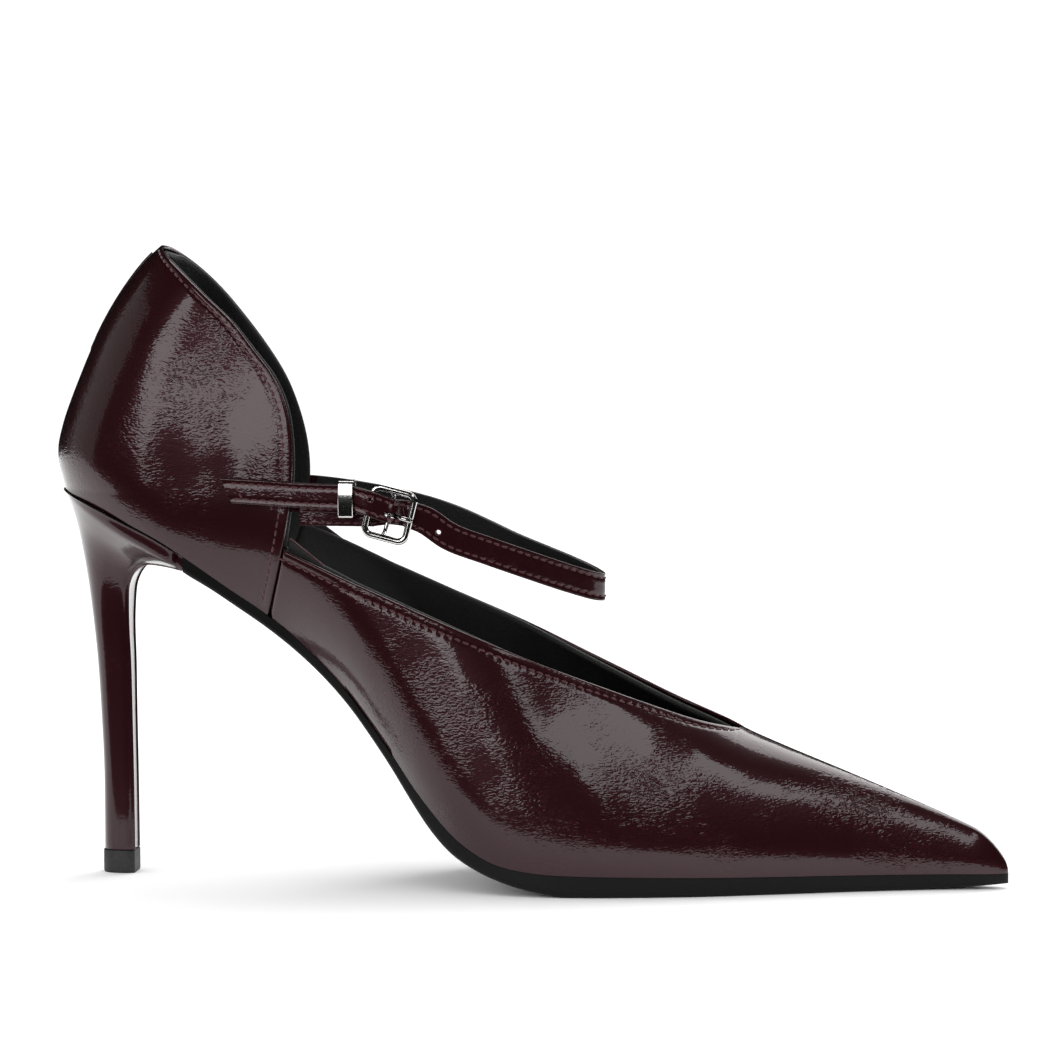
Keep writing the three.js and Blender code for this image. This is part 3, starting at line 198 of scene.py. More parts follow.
def breadth_slopes(x, z, side, step):
    """Change of the half breadth per millimetre of x and of z."""
    dx = half_breadth(x + step, z, side) - half_breadth(x - step, z, side)
    dz = half_breadth(x, z + step, side) - half_breadth(x, z - step, side)
    return dx / (2 * step), dz / (2 * step)


def inset_breadth(x, z, side, inwards):
    """The half breadth less a depth measured square to the face."""
    dx, dz = breadth_slopes(x, z, side, 0.5)
    slant = np.minimum(3, np.sqrt(1 + dx**2 + dz**2))
    return np.maximum(0.4, half_breadth(x, z, side) - inwards * slant)


def on_upper(x, z, side):
    """Points of the outer face, as an array whose last axis is x, y, z in millimetres."""
    return np.stack(np.broadcast_arrays(x, side * half_breadth(x, z, side), z), axis=-1)


def above(x, d):
    """Height of the points that lie d above the feather line, measured square to it."""
    slope = feather_line(np.asarray(x) + 0.5) - feather_line(np.asarray(x) - 0.5)
    return feather_line(x) + d * np.sqrt(1 + slope**2)


print("breadth at the ball:", float(half_breadth(118, 14, LATERAL) + half_breadth(118, 14, MEDIAL)))

# %% [markdown]
# ## From points to a closed piece
# A leather piece is a sheet with a thickness and a rolled edge. It could be a flat grid with a
# Solidify modifier, but that leaves a square edge. Here the grid is welded, its corner normals are
# worked out, an outer and an inner face are set off along them, and the rim between the two is
# bowed out in a half circle, as a folded edge is.

# %% Weld, thicken and loft
def grid_faces(rows, columns, closed=False):
    """Quads of a grid numbered row by row; closed joins its last column to its first."""
    index = np.arange(rows * columns).reshape(rows, columns)
    if closed:
        index = np.hstack([index, index[:, :1]])
    corners = [index[:-1, :-1], index[:-1, 1:], index[1:, 1:], index[1:, :-1]]
    return np.stack(corners, axis=-1).reshape(-1, 4)


def corner_normals(points, faces):
    """Unit sum, at each point, of the crossed diagonals of the quads that meet there."""
    a, b, c, d = (points[faces[:, k]] for k in range(4))
    crossed = np.cross(c - a, d - b)
    total = np.zeros_like(points)
    for k in range(4):
        np.add.at(total, faces[:, k], crossed)
    return total / np.maximum(1e-12, np.linalg.norm(total, axis=1, keepdims=True))


def weld(grids, outward):
    """One list of points and quads from grids, each turned to face its outward direction."""
    points, faces, count = [], [], 0
    for grid, direction in zip(grids, outward):
        rows, columns = grid.shape[:2]
        flat = grid.reshape(-1, 3)
        quads = grid_faces(rows, columns)
        area = np.cross(flat[quads[:, 2]] - flat[quads[:, 0]], flat[quads[:, 3]] - flat[quads[:, 1]])
        if area.sum(axis=0) @ np.array(direction, float) < 0:
            quads = quads[:, ::-1]
        points.append(flat)
        faces.append(quads + count)
        count += len(flat)
    points, faces = np.vstack(points), np.vstack(faces)
    _, first, number = np.unique(np.round(points, 3), axis=0, return_index=True, return_inverse=True)
    return points[first], number.ravel()[faces], number.ravel()


def thicken(grids, outward, outer, inner, settle=None):
    """Outer and inner faces at two depths under the grids, with a half-round rim between them."""
    points, faces, number = weld(grids, outward)
    normals = corner_normals(points, faces)
    depths = []
    for depth in (outer, inner):
        if isinstance(depth, list):
            spread = np.zeros(len(points))
            spread[number] = np.concatenate([d.ravel() for d in depth])
            depth = spread
        depths.append(np.broadcast_to(depth, len(points))[:, None])
    sides = np.stack([faces, np.roll(faces, -1, axis=1)], axis=-1).reshape(-1, 2)
    sides = sides[sides[:, 0] != sides[:, 1]]
    code = sides[:, 0] * len(points) + sides[:, 1]
    back = sides[:, 1] * len(points) + sides[:, 0]
    rim = sides[~np.isin(code, back)]
    run = points[rim[:, 1]] - points[rim[:, 0]]
    away = np.zeros_like(points)
    for end in (0, 1):
        np.add.at(away, rim[:, end], np.cross(run, normals[rim[:, end]]))
    away /= np.maximum(1e-9, np.linalg.norm(away, axis=1, keepdims=True))
    half = (depths[1] - depths[0]) / 2
    rings = []
    for turn in np.linspace(0, np.pi, 6):
        depth = depths[0] + half * (1 - np.cos(turn))
        ring = points - normals * depth + away * half * np.sin(turn)
        rings.append(settle(ring) if settle else ring)
    count = len(points)
    band = []
    for k in range(len(rings) - 1):
        low, high = rim + k * count, rim + (k + 1) * count
        band.append(np.column_stack([low[:, 1], low[:, 0], high[:, 0], high[:, 1]]))
    bottom = faces[:, ::-1] + (len(rings) - 1) * count
    return np.vstack(rings), np.vstack([faces, bottom, *band])


def loft(sections, closed_path=False):
    """A closed body through sections, an array of section, corner and x, y, z; its ends are capped."""
    count, corners = sections.shape[:2]
    points = sections.reshape(-1, 3)
    faces = grid_faces(count, corners, closed=True)
    last, first = np.arange(corners) + (count - 1) * corners, np.arange(corners)
    if closed_path:
        faces = np.vstack([faces, np.column_stack([last, np.roll(last, -1), np.roll(first, -1), first])])
    centred = points - points.mean(axis=0)
    a, b, c, d = (centred[faces[:, k]] for k in range(4))
    volume = np.sum(np.cross(c - a, d - b) * (a + b + c + d))
    caps = [] if closed_path else [first[::-1], last]
    turn = 1 if volume > 0 else -1
    return points, [face[::turn] for face in [*faces, *caps]]


def add_object(name, data):
    """A new object in the scene."""
    added = bpy.data.objects.new(name, data)
    bpy.context.scene.collection.objects.link(added)
    return added


def build(name, shape, material, replaced=(), body="shoe", crease=38):
    """Makes the mesh in metres, turns it to face out, hands it to its body and hides the CAD nodes that
    it replaces.
    """
    points, faces = shape
    corners = [list(dict.fromkeys(int(i) for i in face)) for face in faces]
    corners = [face for face in corners if len(face) > 2]
    mesh = bpy.data.meshes.new(name)
    used = np.unique(np.concatenate(corners))
    number = np.full(len(points), -1)
    number[used] = np.arange(len(used))
    mesh.from_pydata((points[used] * MM).tolist(), [], [number[face].tolist() for face in corners])
    work = bmesh.new()
    work.from_mesh(mesh)
    if work.calc_volume(signed=True) < 0:
        bmesh.ops.reverse_faces(work, faces=work.faces)
    work.to_mesh(mesh)
    work.free()
    mesh.validate()
    mesh.shade_smooth()
    mesh.set_sharp_from_angle(angle=np.radians(crease))
    piece = add_object(name, mesh)
    mesh.materials.append(material)
    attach(piece, body)
    if replaced:
        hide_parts(*replaced)
    print(f"{name}: {len(mesh.polygons)} faces")
    return piece


# %% [markdown]
# ## Finishes
# Crinkled patent is a dark leather under a clear coat of lacquer, so it is a rough dark base with
# a smooth coat. Its creases are cells with sharp valleys, stronger in patches,
# over a slow swell that makes a reflection's edge wander. All patterns are solid and read the
# object's own coordinates, in metres.

# %% Material helpers
def new_material(name, **settings):
    """A Principled material with its fixed values set on the shader's own sockets."""
    material = bpy.data.materials.new(name)
    material.use_nodes = True
    shader = material.node_tree.nodes["Principled BSDF"]
    for socket, value in settings.items():
        shader.inputs[socket.replace("_", " ")].default_value = value
    return material


def add_node(material, kind, settings=None, **values):
    """Adds a node, sets its properties and its unlinked sockets, and links the rest."""
    tree = material.node_tree
    node = tree.nodes.new("ShaderNode" + kind)
    for key, value in (settings or {}).items():
        setattr(node, key, value)
    for key, value in values.items():
        numbered = key[0] == "i" and key[1:].isdigit()
        socket = node.inputs[int(key[1:]) if numbered else key.replace("_", " ")]
        if isinstance(value, bpy.types.NodeSocket):
            tree.links.new(value, socket)
        else:
            socket.default_value = value
    return node


def place(material, stretch=(1, 1, 1), turn=(0, 0, 0)):
    """The object's own coordinates, stretched where a grain runs one way."""
    own = add_node(material, "TexCoord").outputs["Object"]
    return add_node(material, "Mapping", Vector=own, Rotation=turn, Scale=stretch).outputs["Vector"]


def noise(material, vector, scale, detail=2.0, rough=0.5, twist=0.0):
    """A cloud pattern with so many swells to the metre."""
    return add_node(
        material, "TexNoise", Vector=vector, Scale=scale, Detail=detail, Roughness=rough, Distortion=twist
    ).outputs["Fac"]


def ramp(material, value, low, high, to_low=0.0, to_high=1.0):
    """Carries a value from one range to another, with soft ends."""
    node = add_node(material, "MapRange", {"interpolation_type": "SMOOTHSTEP"}, Value=value)
    for socket, number in zip(("From Min", "From Max", "To Min", "To Max"), (low, high, to_low, to_high)):
        node.inputs[socket].default_value = number
    return node.outputs["Result"]


def blend_colours(material, value, dark, light):
    """A colour between two, by a value."""
    node = add_node(material, "Mix", {"data_type": "RGBA"}, Factor=value)
    node.inputs["A"].default_value = (*dark, 1)
    node.inputs["B"].default_value = (*light, 1)
    return node.outputs["Result"]


def combine(material, operation, a, b):
    """One sum, product or maximum of two values."""
    return add_node(material, "Math", {"operation": operation}, i0=a, i1=b).outputs["Value"]


def bump(material, height, distance, strength=1.0, normal=None):
    """Adds a bump of so many metres to the shader, over another one if there is one."""
    node = add_node(material, "Bump", Height=height, Distance=distance, Strength=strength)
    if normal:
        material.node_tree.links.new(normal, node.inputs["Normal"])
    return node.outputs["Normal"]


def plug(material, socket, output):
    """Links an output to a socket of the shader."""
    shader = material.node_tree.nodes["Principled BSDF"]
    material.node_tree.links.new(output, shader.inputs[socket])


# %% [markdown]
# The crinkle is made of two sizes of cell. Voronoi's distance to the nearest wall is zero along
# the walls, so a soft ramp of it gives rounded pads between fine valleys. The larger cells also
# paint the colour, lighter on the pads and darker in the valleys within the patches: painted crease
# shade.

# %% Leathers
def crinkled_patent(name, base, light, crinkle, swell_size):
    """Dark leather under lacquer: cells for the creases, clouds for their patches and the swell; the
    colour is painted lighter on the crease pads and darker in their valleys, as painted crease shade.
    """
    material = new_material(
        name, Roughness=0.3, Coat_Weight=1.0, Coat_Roughness=0.045, Coat_IOR=1.42,
        Specular_IOR_Level=0.24, Specular_Tint=(1.0, 0.5, 0.62, 1.0)
    )
    at = place(material)
    along = place(material, (0.55, 0.9, 1.2), (0, -0.45, 0))
    wander = add_node(material, "TexNoise", Vector=along, Scale=420.0, Detail=2.0)
    bent = add_node(
        material, "VectorMath", {"operation": "MULTIPLY_ADD"},
        i0=wander.outputs["Color"], i1=(0.0011, 0.0011, 0.0011), i2=along,
    ).outputs["Vector"]
    cells = []
    for scale in (560.0, 1150.0):
        feature = {"feature": "DISTANCE_TO_EDGE"}
        cell = add_node(material, "TexVoronoi", feature, Vector=bent, Scale=scale, Randomness=1.0)
        cells.append(ramp(material, cell.outputs["Distance"], 0.0, 0.32))
    patches = ramp(material, noise(material, at, 42.0, 3.0, 0.6), 0.42, 0.76, 0.12, 1.0)
    creases = combine(material, "MULTIPLY", combine(material, "ADD", cells[0], cells[1]), patches)
    slow = noise(material, at, 75.0, 2.0, 0.45, 0.4)
    first = bump(material, slow, swell_size)
    second = bump(material, creases, crinkle, normal=first)
    plug(material, "Normal", second)
    plug(material, "Coat Normal", bump(material, creases, crinkle * 0.8, normal=first))
    # Painted crease shade: the base colour is lighter on the larger cells' pads and darker in their
    # valleys, within the patches.
    painted_crease_shade = ramp(material, combine(material, "MULTIPLY", cells[0], patches), 0.1, 0.9)
    plug(material, "Base Color", blend_colours(material, painted_crease_shade, base, light))
    return material


def grained_leather(name, base, light, rough, grain, gloss=0.4):
    """Plain leather: small pebbles with fine pores between them, and a roughness that wanders."""
    material = new_material(name, Specular_IOR_Level=gloss)
    at = place(material)
    pebbles = add_node(material, "TexVoronoi", {"feature": "F1"}, Vector=at, Scale=1500.0)
    pores = noise(material, at, 2600.0, 2.0)
    height = combine(material, "ADD", pebbles.outputs["Distance"], pores)
    plug(material, "Normal", bump(material, height, grain))
    cloud = noise(material, at, 60.0, 3.0, 0.6)
    plug(material, "Roughness", ramp(material, cloud, 0.3, 0.7, rough - 0.07, rough + 0.07))
    plug(material, "Base Color", blend_colours(material, cloud, base, light))
    return material


BURGUNDY = (0.0128, 0.0017, 0.0022)
# The second colour of each patent is painted on its crease pads, against the first in the valleys:
# painted crease shade.
patent = crinkled_patent("burgundy_patent", BURGUNDY, (0.0185, 0.0028, 0.0036), 0.000045, 0.00013)
heel_patent = crinkled_patent("heel_patent", BURGUNDY, (0.017, 0.0026, 0.0033), 0.000015, 0.00007)
lining_leather = grained_leather("lining_leather", (0.006,) * 3, (0.011,) * 3, 0.55, 0.00006)
sock_leather = grained_leather("sock_leather", (0.012, 0.011, 0.011), (0.02, 0.018, 0.018), 0.5, 0.00005)
sole_leather = grained_leather("sole_leather", (0.003,) * 3, (0.005,) * 3, 0.42, 0.00002, 0.15)

# %% [markdown]
# Metal, thread, rubber and the hidden pieces. Polished nickel is not a perfect mirror: it carries
# hair-fine polishing marks. Thread is twisted, which a wave pattern along the yarn shows in relief and
# in painted shade, its colour darker in the grooves of the twist.

# %% Metals, thread, rubber and hidden pieces
def polished_metal(name, colour, rough, marks):
    """Bright metal with hair-fine marks in its roughness and its bump."""
    material = new_material(name, Metallic=1.0, Base_Color=(*colour, 1))
    at = place(material, (1, 1, 12))
    hair = noise(material, at, 900.0, 3.0, 0.7)
    plug(material, "Roughness", ramp(material, hair, 0.3, 0.7, rough * 0.7, rough * 1.4))
    plug(material, "Normal", bump(material, hair, marks))
    return material


def plain_matter(name, dark, light, rough, scale, depth):
    """Board, cork, cast plastic or rubber: a speckle of two colours and the same speckle in relief."""
    material = new_material(name, Roughness=rough)
    speckle = noise(material, place(material), scale, 4.0, 0.65)
    colour = blend_colours(material, ramp(material, speckle, 0.35, 0.65), dark, light)
    plug(material, "Base Color", colour)
    plug(material, "Normal", bump(material, speckle, depth))
    return material


nickel = polished_metal("polished_nickel", (0.74, 0.73, 0.71), 0.13, 0.000004)
steel = polished_metal("plain_steel", (0.42, 0.43, 0.45), 0.34, 0.00002)
tip_rubber, fibre_board, pressed_cork, stiff_sheet, heel_plastic = (
    plain_matter(*values)
    for values in (
        ("tip_rubber", (0.008, 0.008, 0.008), (0.014, 0.014, 0.014), 0.55, 900.0, 0.00003),
        ("fibre_board", (0.022, 0.019, 0.017), (0.04, 0.034, 0.03), 0.85, 700.0, 0.00005),
        ("pressed_cork", (0.2, 0.1, 0.045), (0.42, 0.26, 0.13), 0.9, 420.0, 0.0001),
        ("stiff_sheet", (0.55, 0.51, 0.44), (0.64, 0.6, 0.52), 0.8, 300.0, 0.00004),
        ("heel_plastic", (0.05, 0.046, 0.042), (0.065, 0.06, 0.055), 0.45, 250.0, 0.00002),
    )
)

thread = new_material("burgundy_thread", Roughness=0.6, Sheen_Weight=0.3, Specular_IOR_Level=0.3)
twist = add_node(
    thread, "TexWave", {"bands_direction": "DIAGONAL"}, Vector=place(thread), Scale=900.0, Distortion=2.0
).outputs["Fac"]
# Painted shade: the thread's colour is darker in the twist's grooves and lighter on its ridges, by the
# same wave as the bump.
plug(thread, "Base Color", blend_colours(thread, twist, (0.032, 0.003, 0.006), (0.075, 0.008, 0.014)))
plug(thread, "Normal", bump(thread, twist, 0.00004))

HIDDEN = {
    "insole_board": fibre_board, "bottom_filler": pressed_cork, "heel_counter": stiff_sheet,
    "toe_puff": stiff_sheet, "heel_block": heel_plastic,
}
for node, piece in frame["nodes"].items():
    piece.data.materials.clear()
    piece.data.materials.append(HIDDEN.get(node, steel))
print("hidden pieces with a finish of their own:", ", ".join(sorted(HIDDEN)))

# %% [markdown]
# ## The quarters
# A quarter is one half of the heel part: from the back seam to a front edge that sweeps up in one
# line to the peak. It is a grid whose rows run from the back to that line. The line is a
# Catmull-Rom spline, which passes through its points and can be read at even steps of its length.

# %% A spline read by its length
def glide(route, shares, values=None):
    """Centripetal Catmull-Rom through the route, at shares of its length: points, tangents, values."""
    p = np.array(route, float)
    full = np.vstack([2 * p[0] - p[1], p, 2 * p[-1] - p[-2]])
    gap = np.linalg.norm(np.diff(full, axis=0), axis=1) ** 0.5
    d0, d1, d2 = (gap[k : k + len(p) - 1, None] for k in range(3))
    a, b, c, d = (full[k : k + len(p) - 1] for k in range(4))
    leave = ((b - a) / d0 - (c - a) / (d0 + d1) + (c - b) / d1) * d1
    arrive = ((c - b) / d1 - (d - b) / (d1 + d2) + (d - c) / d2) * d1
    knot = np.linspace(0, len(p) - 1, 60 * (len(p) - 1) + 1)
    i = np.minimum(knot.astype(int), len(p) - 2)
    t = (knot - i)[:, None]
    bend = -3 * b + 3 * c - 2 * leave - arrive
    twist = 2 * b - 2 * c + leave + arrive
    fine = b[i] + leave[i] * t + bend[i] * t**2 + twist[i] * t**3
    length = run_along(fine)
    at = np.asarray(shares) * length[-1]
    spots = read_at(at, length, fine)
    tangent = unit(read_at(at, length, np.gradient(fine, length, axis=0)))
    if values is None:
        return spots, tangent
    knots = np.interp(at, length, knot)
    return spots, tangent, read_at(knots, np.arange(len(p)), np.array(values, float))


# %% The quarters' grid
FRONT_LINE = {
    LATERAL: [
        (41.8, 70.1), (45.6, 82), (48.5, 94.2), (50, 106.7), (49.6, 118.9), (47.9, 126.3),
        (44.7, 132.6), (39, 139.6), (33.5, 146.2), (26.7, 152.3), (19.6, 158.4), (11.5, 164.6),
    ],
    MEDIAL: [
        (37.8, 73), (41.6, 83), (44.2, 94), (45.4, 103), (45, 111), (43.2, 119.6), (40, 128.6),
        (35, 137.2), (27, 148.1), (20.3, 155.9), (11.5, 164.6),
    ],
}
SEAT_HEIGHT = 101.6
BACK_FOOT = (-14, SEAT_HEIGHT)
PEAK = (11.5, 164.6)
LEATHER, STIFFENER, LINING, BOARD, GAP = 1.0, 0.9, 0.7, 1.5, 0.3
TURNED_IN = 5.0  # how far the upper is drawn in under the foot
STIFF_DEPTH = LEATHER + GAP
LINING_DEPTH = STIFF_DEPTH + STIFFENER + GAP
BOARD_TOP = STIFF_DEPTH + BOARD


def quarter_place(side, u, v):
    """x and z at a share u from the back curve to the front line and a share v from foot to peak."""
    foot_x = FRONT_LINE[side][0][0]
    line = [(foot_x, float(feather_line(foot_x))), *FRONT_LINE[side][1:]]
    front = glide(line, v.ravel())[0].reshape(*v.shape, 2)
    back_z = lerp(BACK_FOOT[1], PEAK[1], v)
    sole_x = lerp(BACK_FOOT[0], line[0][0], u)
    drop = feather_line(sole_x) - lerp(BACK_FOOT[1], line[0][1], u)
    x = lerp(back_curve(back_z), front[..., 0], u)
    return x, lerp(back_z, front[..., 1], u) + drop * (1 - v) ** 1.5


def quarter_grid(side, rows, columns, turned_in=0.0, lift=0.0):
    """Rows from the back curve to the front line, the first at a lift above the feather line."""
    v = np.repeat(np.linspace(0, 1, rows + 1)[:, None], columns + 1, axis=1)
    u = 1 - np.cos(np.linspace(0, np.pi / 2, columns + 1))[None, :]
    x, z = quarter_place(side, u, v)
    if lift:
        spare = z - above(x, lift)
        first = np.argmax(spare > 0, axis=0)
        column = np.arange(columns + 1)
        under, over = spare[first - 1, column], spare[first, column]
        start = (first - over / (over - under)) / rows
        x, z = quarter_place(side, u, lerp(start[None, :], 1.0, v))
    grid = on_upper(x, z, side)
    if turned_in:
        foot = grid[0]
        inwards = unit(np.stack([np.maximum(foot[:, 0], 14) - foot[:, 0], -foot[:, 1]], axis=-1))
        inner = foot.copy()
        inner[:, :2] += inwards * turned_in
        inner[:, 2] = feather_line(inner[:, 0])
        grid = np.concatenate([inner[None], grid])
    return grid


def edge_distance(grid):
    """How far each point lies from the end of its row, and the length run along those ends."""
    steps = np.linalg.norm(np.diff(grid, axis=1), axis=2)
    inward = np.cumsum(steps[:, ::-1], axis=1)[:, ::-1]
    inward = np.hstack([inward, np.zeros((len(grid), 1))])
    return inward, run_along(grid[:, -1])[:, None]


# %% [markdown]
# A stitch pulls the leather down between its two holes, so a row of stitching lies in a shallow
# valley with a pucker at each stitch. The valley is part of the shape: the outer face is set
# deeper near the row, with a wave along it as long as one stitch.

# %% Quarters with their sewn valley
STITCH = 2.3  # length of one stitch and its gap
SEW_IN = 2.0  # the row's distance from the edge


def sewn_valley(distance, run, depth=0.24, half_width=0.55):
    """A bell across the row, deeper at each stitch's ends, plus a faint pillow between row and edge."""
    across = np.exp(-0.5 * ((distance - SEW_IN) / half_width) ** 2)
    wave = 0.72 + 0.28 * np.cos(2 * np.pi * run / STITCH)
    pillow = np.exp(-0.5 * ((distance - 0.45 * SEW_IN) / 0.5) ** 2)
    return depth * across * wave - 0.05 * pillow


quarter_grids = {}
for side, word in SIDES:
    grid = quarter_grid(side, 150, 96, turned_in=TURNED_IN)
    distance, run = edge_distance(grid)
    valley = sewn_valley(distance, run)
    valley[:2] = 0
    quarter_grids[side] = grid[1:]

    def beside_seam(points, side=side):
        """Keeps the half on its own side of the back seam."""
        points = points.copy()
        points[:, 1] = side * np.maximum(0.06, side * points[:, 1])
        return points

    grid[..., 1] = side * np.maximum(0.5, side * grid[..., 1])
    shape = thicken([grid], [(0, side, 0)], [valley], LEATHER, beside_seam)
    build(f"quarter_leather_{word}", shape, patent, [f"quarter_{word}"])

# %% [markdown]
# ## The vamp
# The forepart is one piece of leather, from under one quarter round the toe to the other. Behind
# the throat each side is an open wing that ends at the topline; ahead of it both sides meet at the
# ridge. Its rows crowd towards the topline, where the sewing needs a fine grid. Under the quarters
# it steps inwards by one thickness.

# %% The vamp's grid
STEP_START, STEP_END = 0.1, 1.5  # the step lies so far ahead of the quarter's edge
STEP_DEPTH = 1.12
VAMP_LAP = 8  # the vamp reaches so far back under the quarter
LAP_SHARE = 0.7  # and is skived there to this share of its thickness


def front_edge_x(side, z):
    """The quarter's front edge, read as x against height."""
    return smooth([(h, x) for x, h in FRONT_LINE[side][:4]])(z)


def top_angle(x):
    """The angle up the section whose sine is the topline's share of the ridge's height."""
    foot = feather_line(x)
    share = np.clip((vamp_topline(x) - foot) / (ridge_line(x) - foot), 0, 1)
    return np.where(x >= THROAT, np.pi / 2, np.arcsin(share))


def crowded(count, pull=2.2):
    """Shares from zero to one whose steps shrink towards one."""
    t = np.linspace(1, 0, count + 1)
    return 1 - np.expm1(pull * t) / np.expm1(pull)


def vamp_grid(side, from_edge, to_x, rows, rear_steps, toe_steps, turned_in=0.0, lift=0.0):
    """Columns from the foot to the topline or ridge, at stations from the quarter's edge to to_x."""
    v = crowded(rows)[None, :]
    edge_foot = FRONT_LINE[side][0][1]
    edge_top = vamp_topline(FRONT_LINE[side][2][0])
    ahead = np.array([*from_edge, *[from_edge[-1]] * (rear_steps - 1)], float)[:, None]
    share = np.r_[np.zeros(len(from_edge)), np.arange(1, rear_steps) / rear_steps][:, None]
    rear = lerp(front_edge_x(side, lerp(edge_foot, edge_top, v)) + ahead, THROAT, share)
    t = np.linspace(0, 1, toe_steps + 1)[:, None]
    t = np.sin(t * np.pi / 2) if to_x >= TOE else t
    toe = np.repeat(lerp(THROAT, to_x, t), rows + 1, axis=1)
    x = np.vstack([rear, toe])
    foot = feather_line(x)
    height = (ridge_line(x) - foot) * nose(x)
    low = np.zeros_like(x)
    if lift:
        low = np.arcsin(np.clip((above(x, lift) - foot) / np.maximum(1e-6, height), 0, 0.9))
    angle = lerp(low, top_angle(x), v)
    grid = on_upper(x, foot + height * np.sin(angle), side)
    grid[..., 1][angle > np.pi / 2 - 1e-6] = 0
    if turned_in:
        inner = grid[:, 0].copy()
        fade = np.clip((212 - inner[:, 0]) / 12, 0, 1)
        inner[:, 1] -= side * np.minimum(turned_in, np.abs(inner[:, 1]) - 6.1).clip(0) * fade
        grid = np.concatenate([inner[:, None], grid], axis=1)
    return grid


def toe_thinning(x):
    """The leather thins towards the point of the toe."""
    return lerp(1, 0.3, np.clip((x - 200) / 24, 0, 1))


def vamp_step(grid, side):
    """How far the vamp has stepped in under the quarter, by a smooth step just ahead of its edge."""
    ahead = grid[..., 0] - front_edge_x(side, grid[..., 2])
    t = np.clip((ahead - STEP_START) / (STEP_END - STEP_START), 0, 1)
    return STEP_DEPTH * (1 - t * t * (3 - 2 * t))


# %% Vamp with its sewn topline
FROM_EDGE = [-VAMP_LAP, -5, -2, -0.6, STEP_START, 0.4, 0.65, 0.9, 1.2, STEP_END, 2.0]
vamp_grids, outer, inner = {}, [], []
for side, _ in SIDES:
    grid = vamp_grid(side, FROM_EDGE, TOE, 40, 240, 90, turned_in=TURNED_IN)
    distance, run = edge_distance(grid)
    open_edge = np.clip((THROAT - grid[..., 0]) / 3, 0, 1)
    valley = sewn_valley(distance, run) * open_edge
    step = vamp_step(grid, side)
    thin = LEATHER * toe_thinning(grid[..., 0]) * np.where(step > 0, LAP_SHARE, 1)
    outer.append(step + valley * (step == 0))
    inner.append(step + thin)
    vamp_grids[side] = grid
OUTWARD = [(0, side, 0) for side, _ in SIDES]
shape = thicken([*vamp_grids.values()], OUTWARD, outer, inner)
build("vamp_leather", shape, patent, ["vamp"])

# %% [markdown]
# ## Linings
# The inside is lined twice: one sleeve of black leather round the heel and one along the vamp.
# They follow the same grids, deeper by the leather, and stop above the sock.

# %% The linings and the side tabs
grids = [quarter_grid(side, 60, 48, lift=BOARD_TOP + GAP) for side in (LATERAL, MEDIAL)]
shape = thicken(grids, OUTWARD, LINING_DEPTH - 0.9, LINING_DEPTH + LINING)
build("quarter_lining_leather", shape, lining_leather, ["quarter_lining"])

grids = [vamp_grid(side, [1.2], 204, 24, 110, 30, lift=BOARD_TOP + 2 * GAP) for side in (LATERAL, MEDIAL)]
shape = thicken(grids, OUTWARD, LINING_DEPTH - 1.1, LINING_DEPTH + LINING)
build("vamp_lining_leather", shape, lining_leather, ["vamp_lining"])

TAB_LENGTH, TAB_RISE, TAB_TUCK = 9, 3.4, 3.5
TAB_AT = 46
tab_tops = {}
for side, word in SIDES:
    u = np.linspace(0, 1, 25)[:, None]
    x = front_edge_x(side, vamp_topline(TAB_AT)) + STEP_END + 2 * GAP + TAB_LENGTH * u
    low = vamp_topline(x) - TAB_TUCK
    top = vamp_topline(x) + lerp(TAB_RISE, 0.4, u)
    grid = on_upper(x, lerp(low, top, np.linspace(0, 1, 17)[None, :]), side)
    tab_tops[side] = grid[:, -1]
    shape = thicken([grid], [(0, side, 0)], STIFF_DEPTH, STIFF_DEPTH + STIFFENER)
    build(f"tab_leather_{word}", shape, lining_leather, [f"side_tab_{word}"])

# %% [markdown]
# ## Bottom
# The sock is the leather that the foot stands on. It lies on the insole board and curls up a
# little where it meets the lining. The outsole is a thin slab of black leather with a rounded
# lower edge, thick at the ball and fine at the toe. Both are sections carried along the shoe.

# %% Sock and outsole
SOCK_BOTTOM = BOARD_TOP + GAP
LINE_INSIDE = LINING_DEPTH + LINING + GAP


def sock_section(x):
    """A slab between the linings; its top is dished and curls up at the sides."""
    low, high = above(x, SOCK_BOTTOM), above(x, SOCK_BOTTOM + 1.0)
    left, right = (
        np.minimum(inset_breadth(x, low, s, LINE_INSIDE), inset_breadth(x, high, s, LINE_INSIDE))
        for s in (LATERAL, MEDIAL)
    )
    t = np.linspace(-1, 1, 33)[None, :]
    x, low, high = x[:, None], low[:, None], high[:, None]
    y = np.where(t < 0, t * left[:, None], t * right[:, None])
    curl = 0.9 * np.abs(t) ** 10 - 0.12 * (1 - t**2)
    top = high + curl * np.clip((200 - x) / 20, 0, 1)
    upper_face, lower_face = (np.stack(np.broadcast_arrays(x, y, z), axis=-1) for z in (top, low))
    return np.concatenate([upper_face, lower_face[:, ::-1]], axis=1)


sock_from = float(back_curve(SEAT_HEIGHT)) + LEATHER + 2 * GAP + 3
shape = loft(sock_section(np.linspace(sock_from, 203, 190)))
build("sock_leather", shape, sock_leather, ["sock_lining"])

BREAST_X = 20.3
BEVEL, KNEE = 1.6, 0.42  # the bevel's width, and how far up the side it begins
REAR_LIFT, REAR_LENGTH = 1.1, 4  # the sole thins towards the heel breast
FLAT_FROM = 198  # ahead of here the sole's sections crowd towards the toe


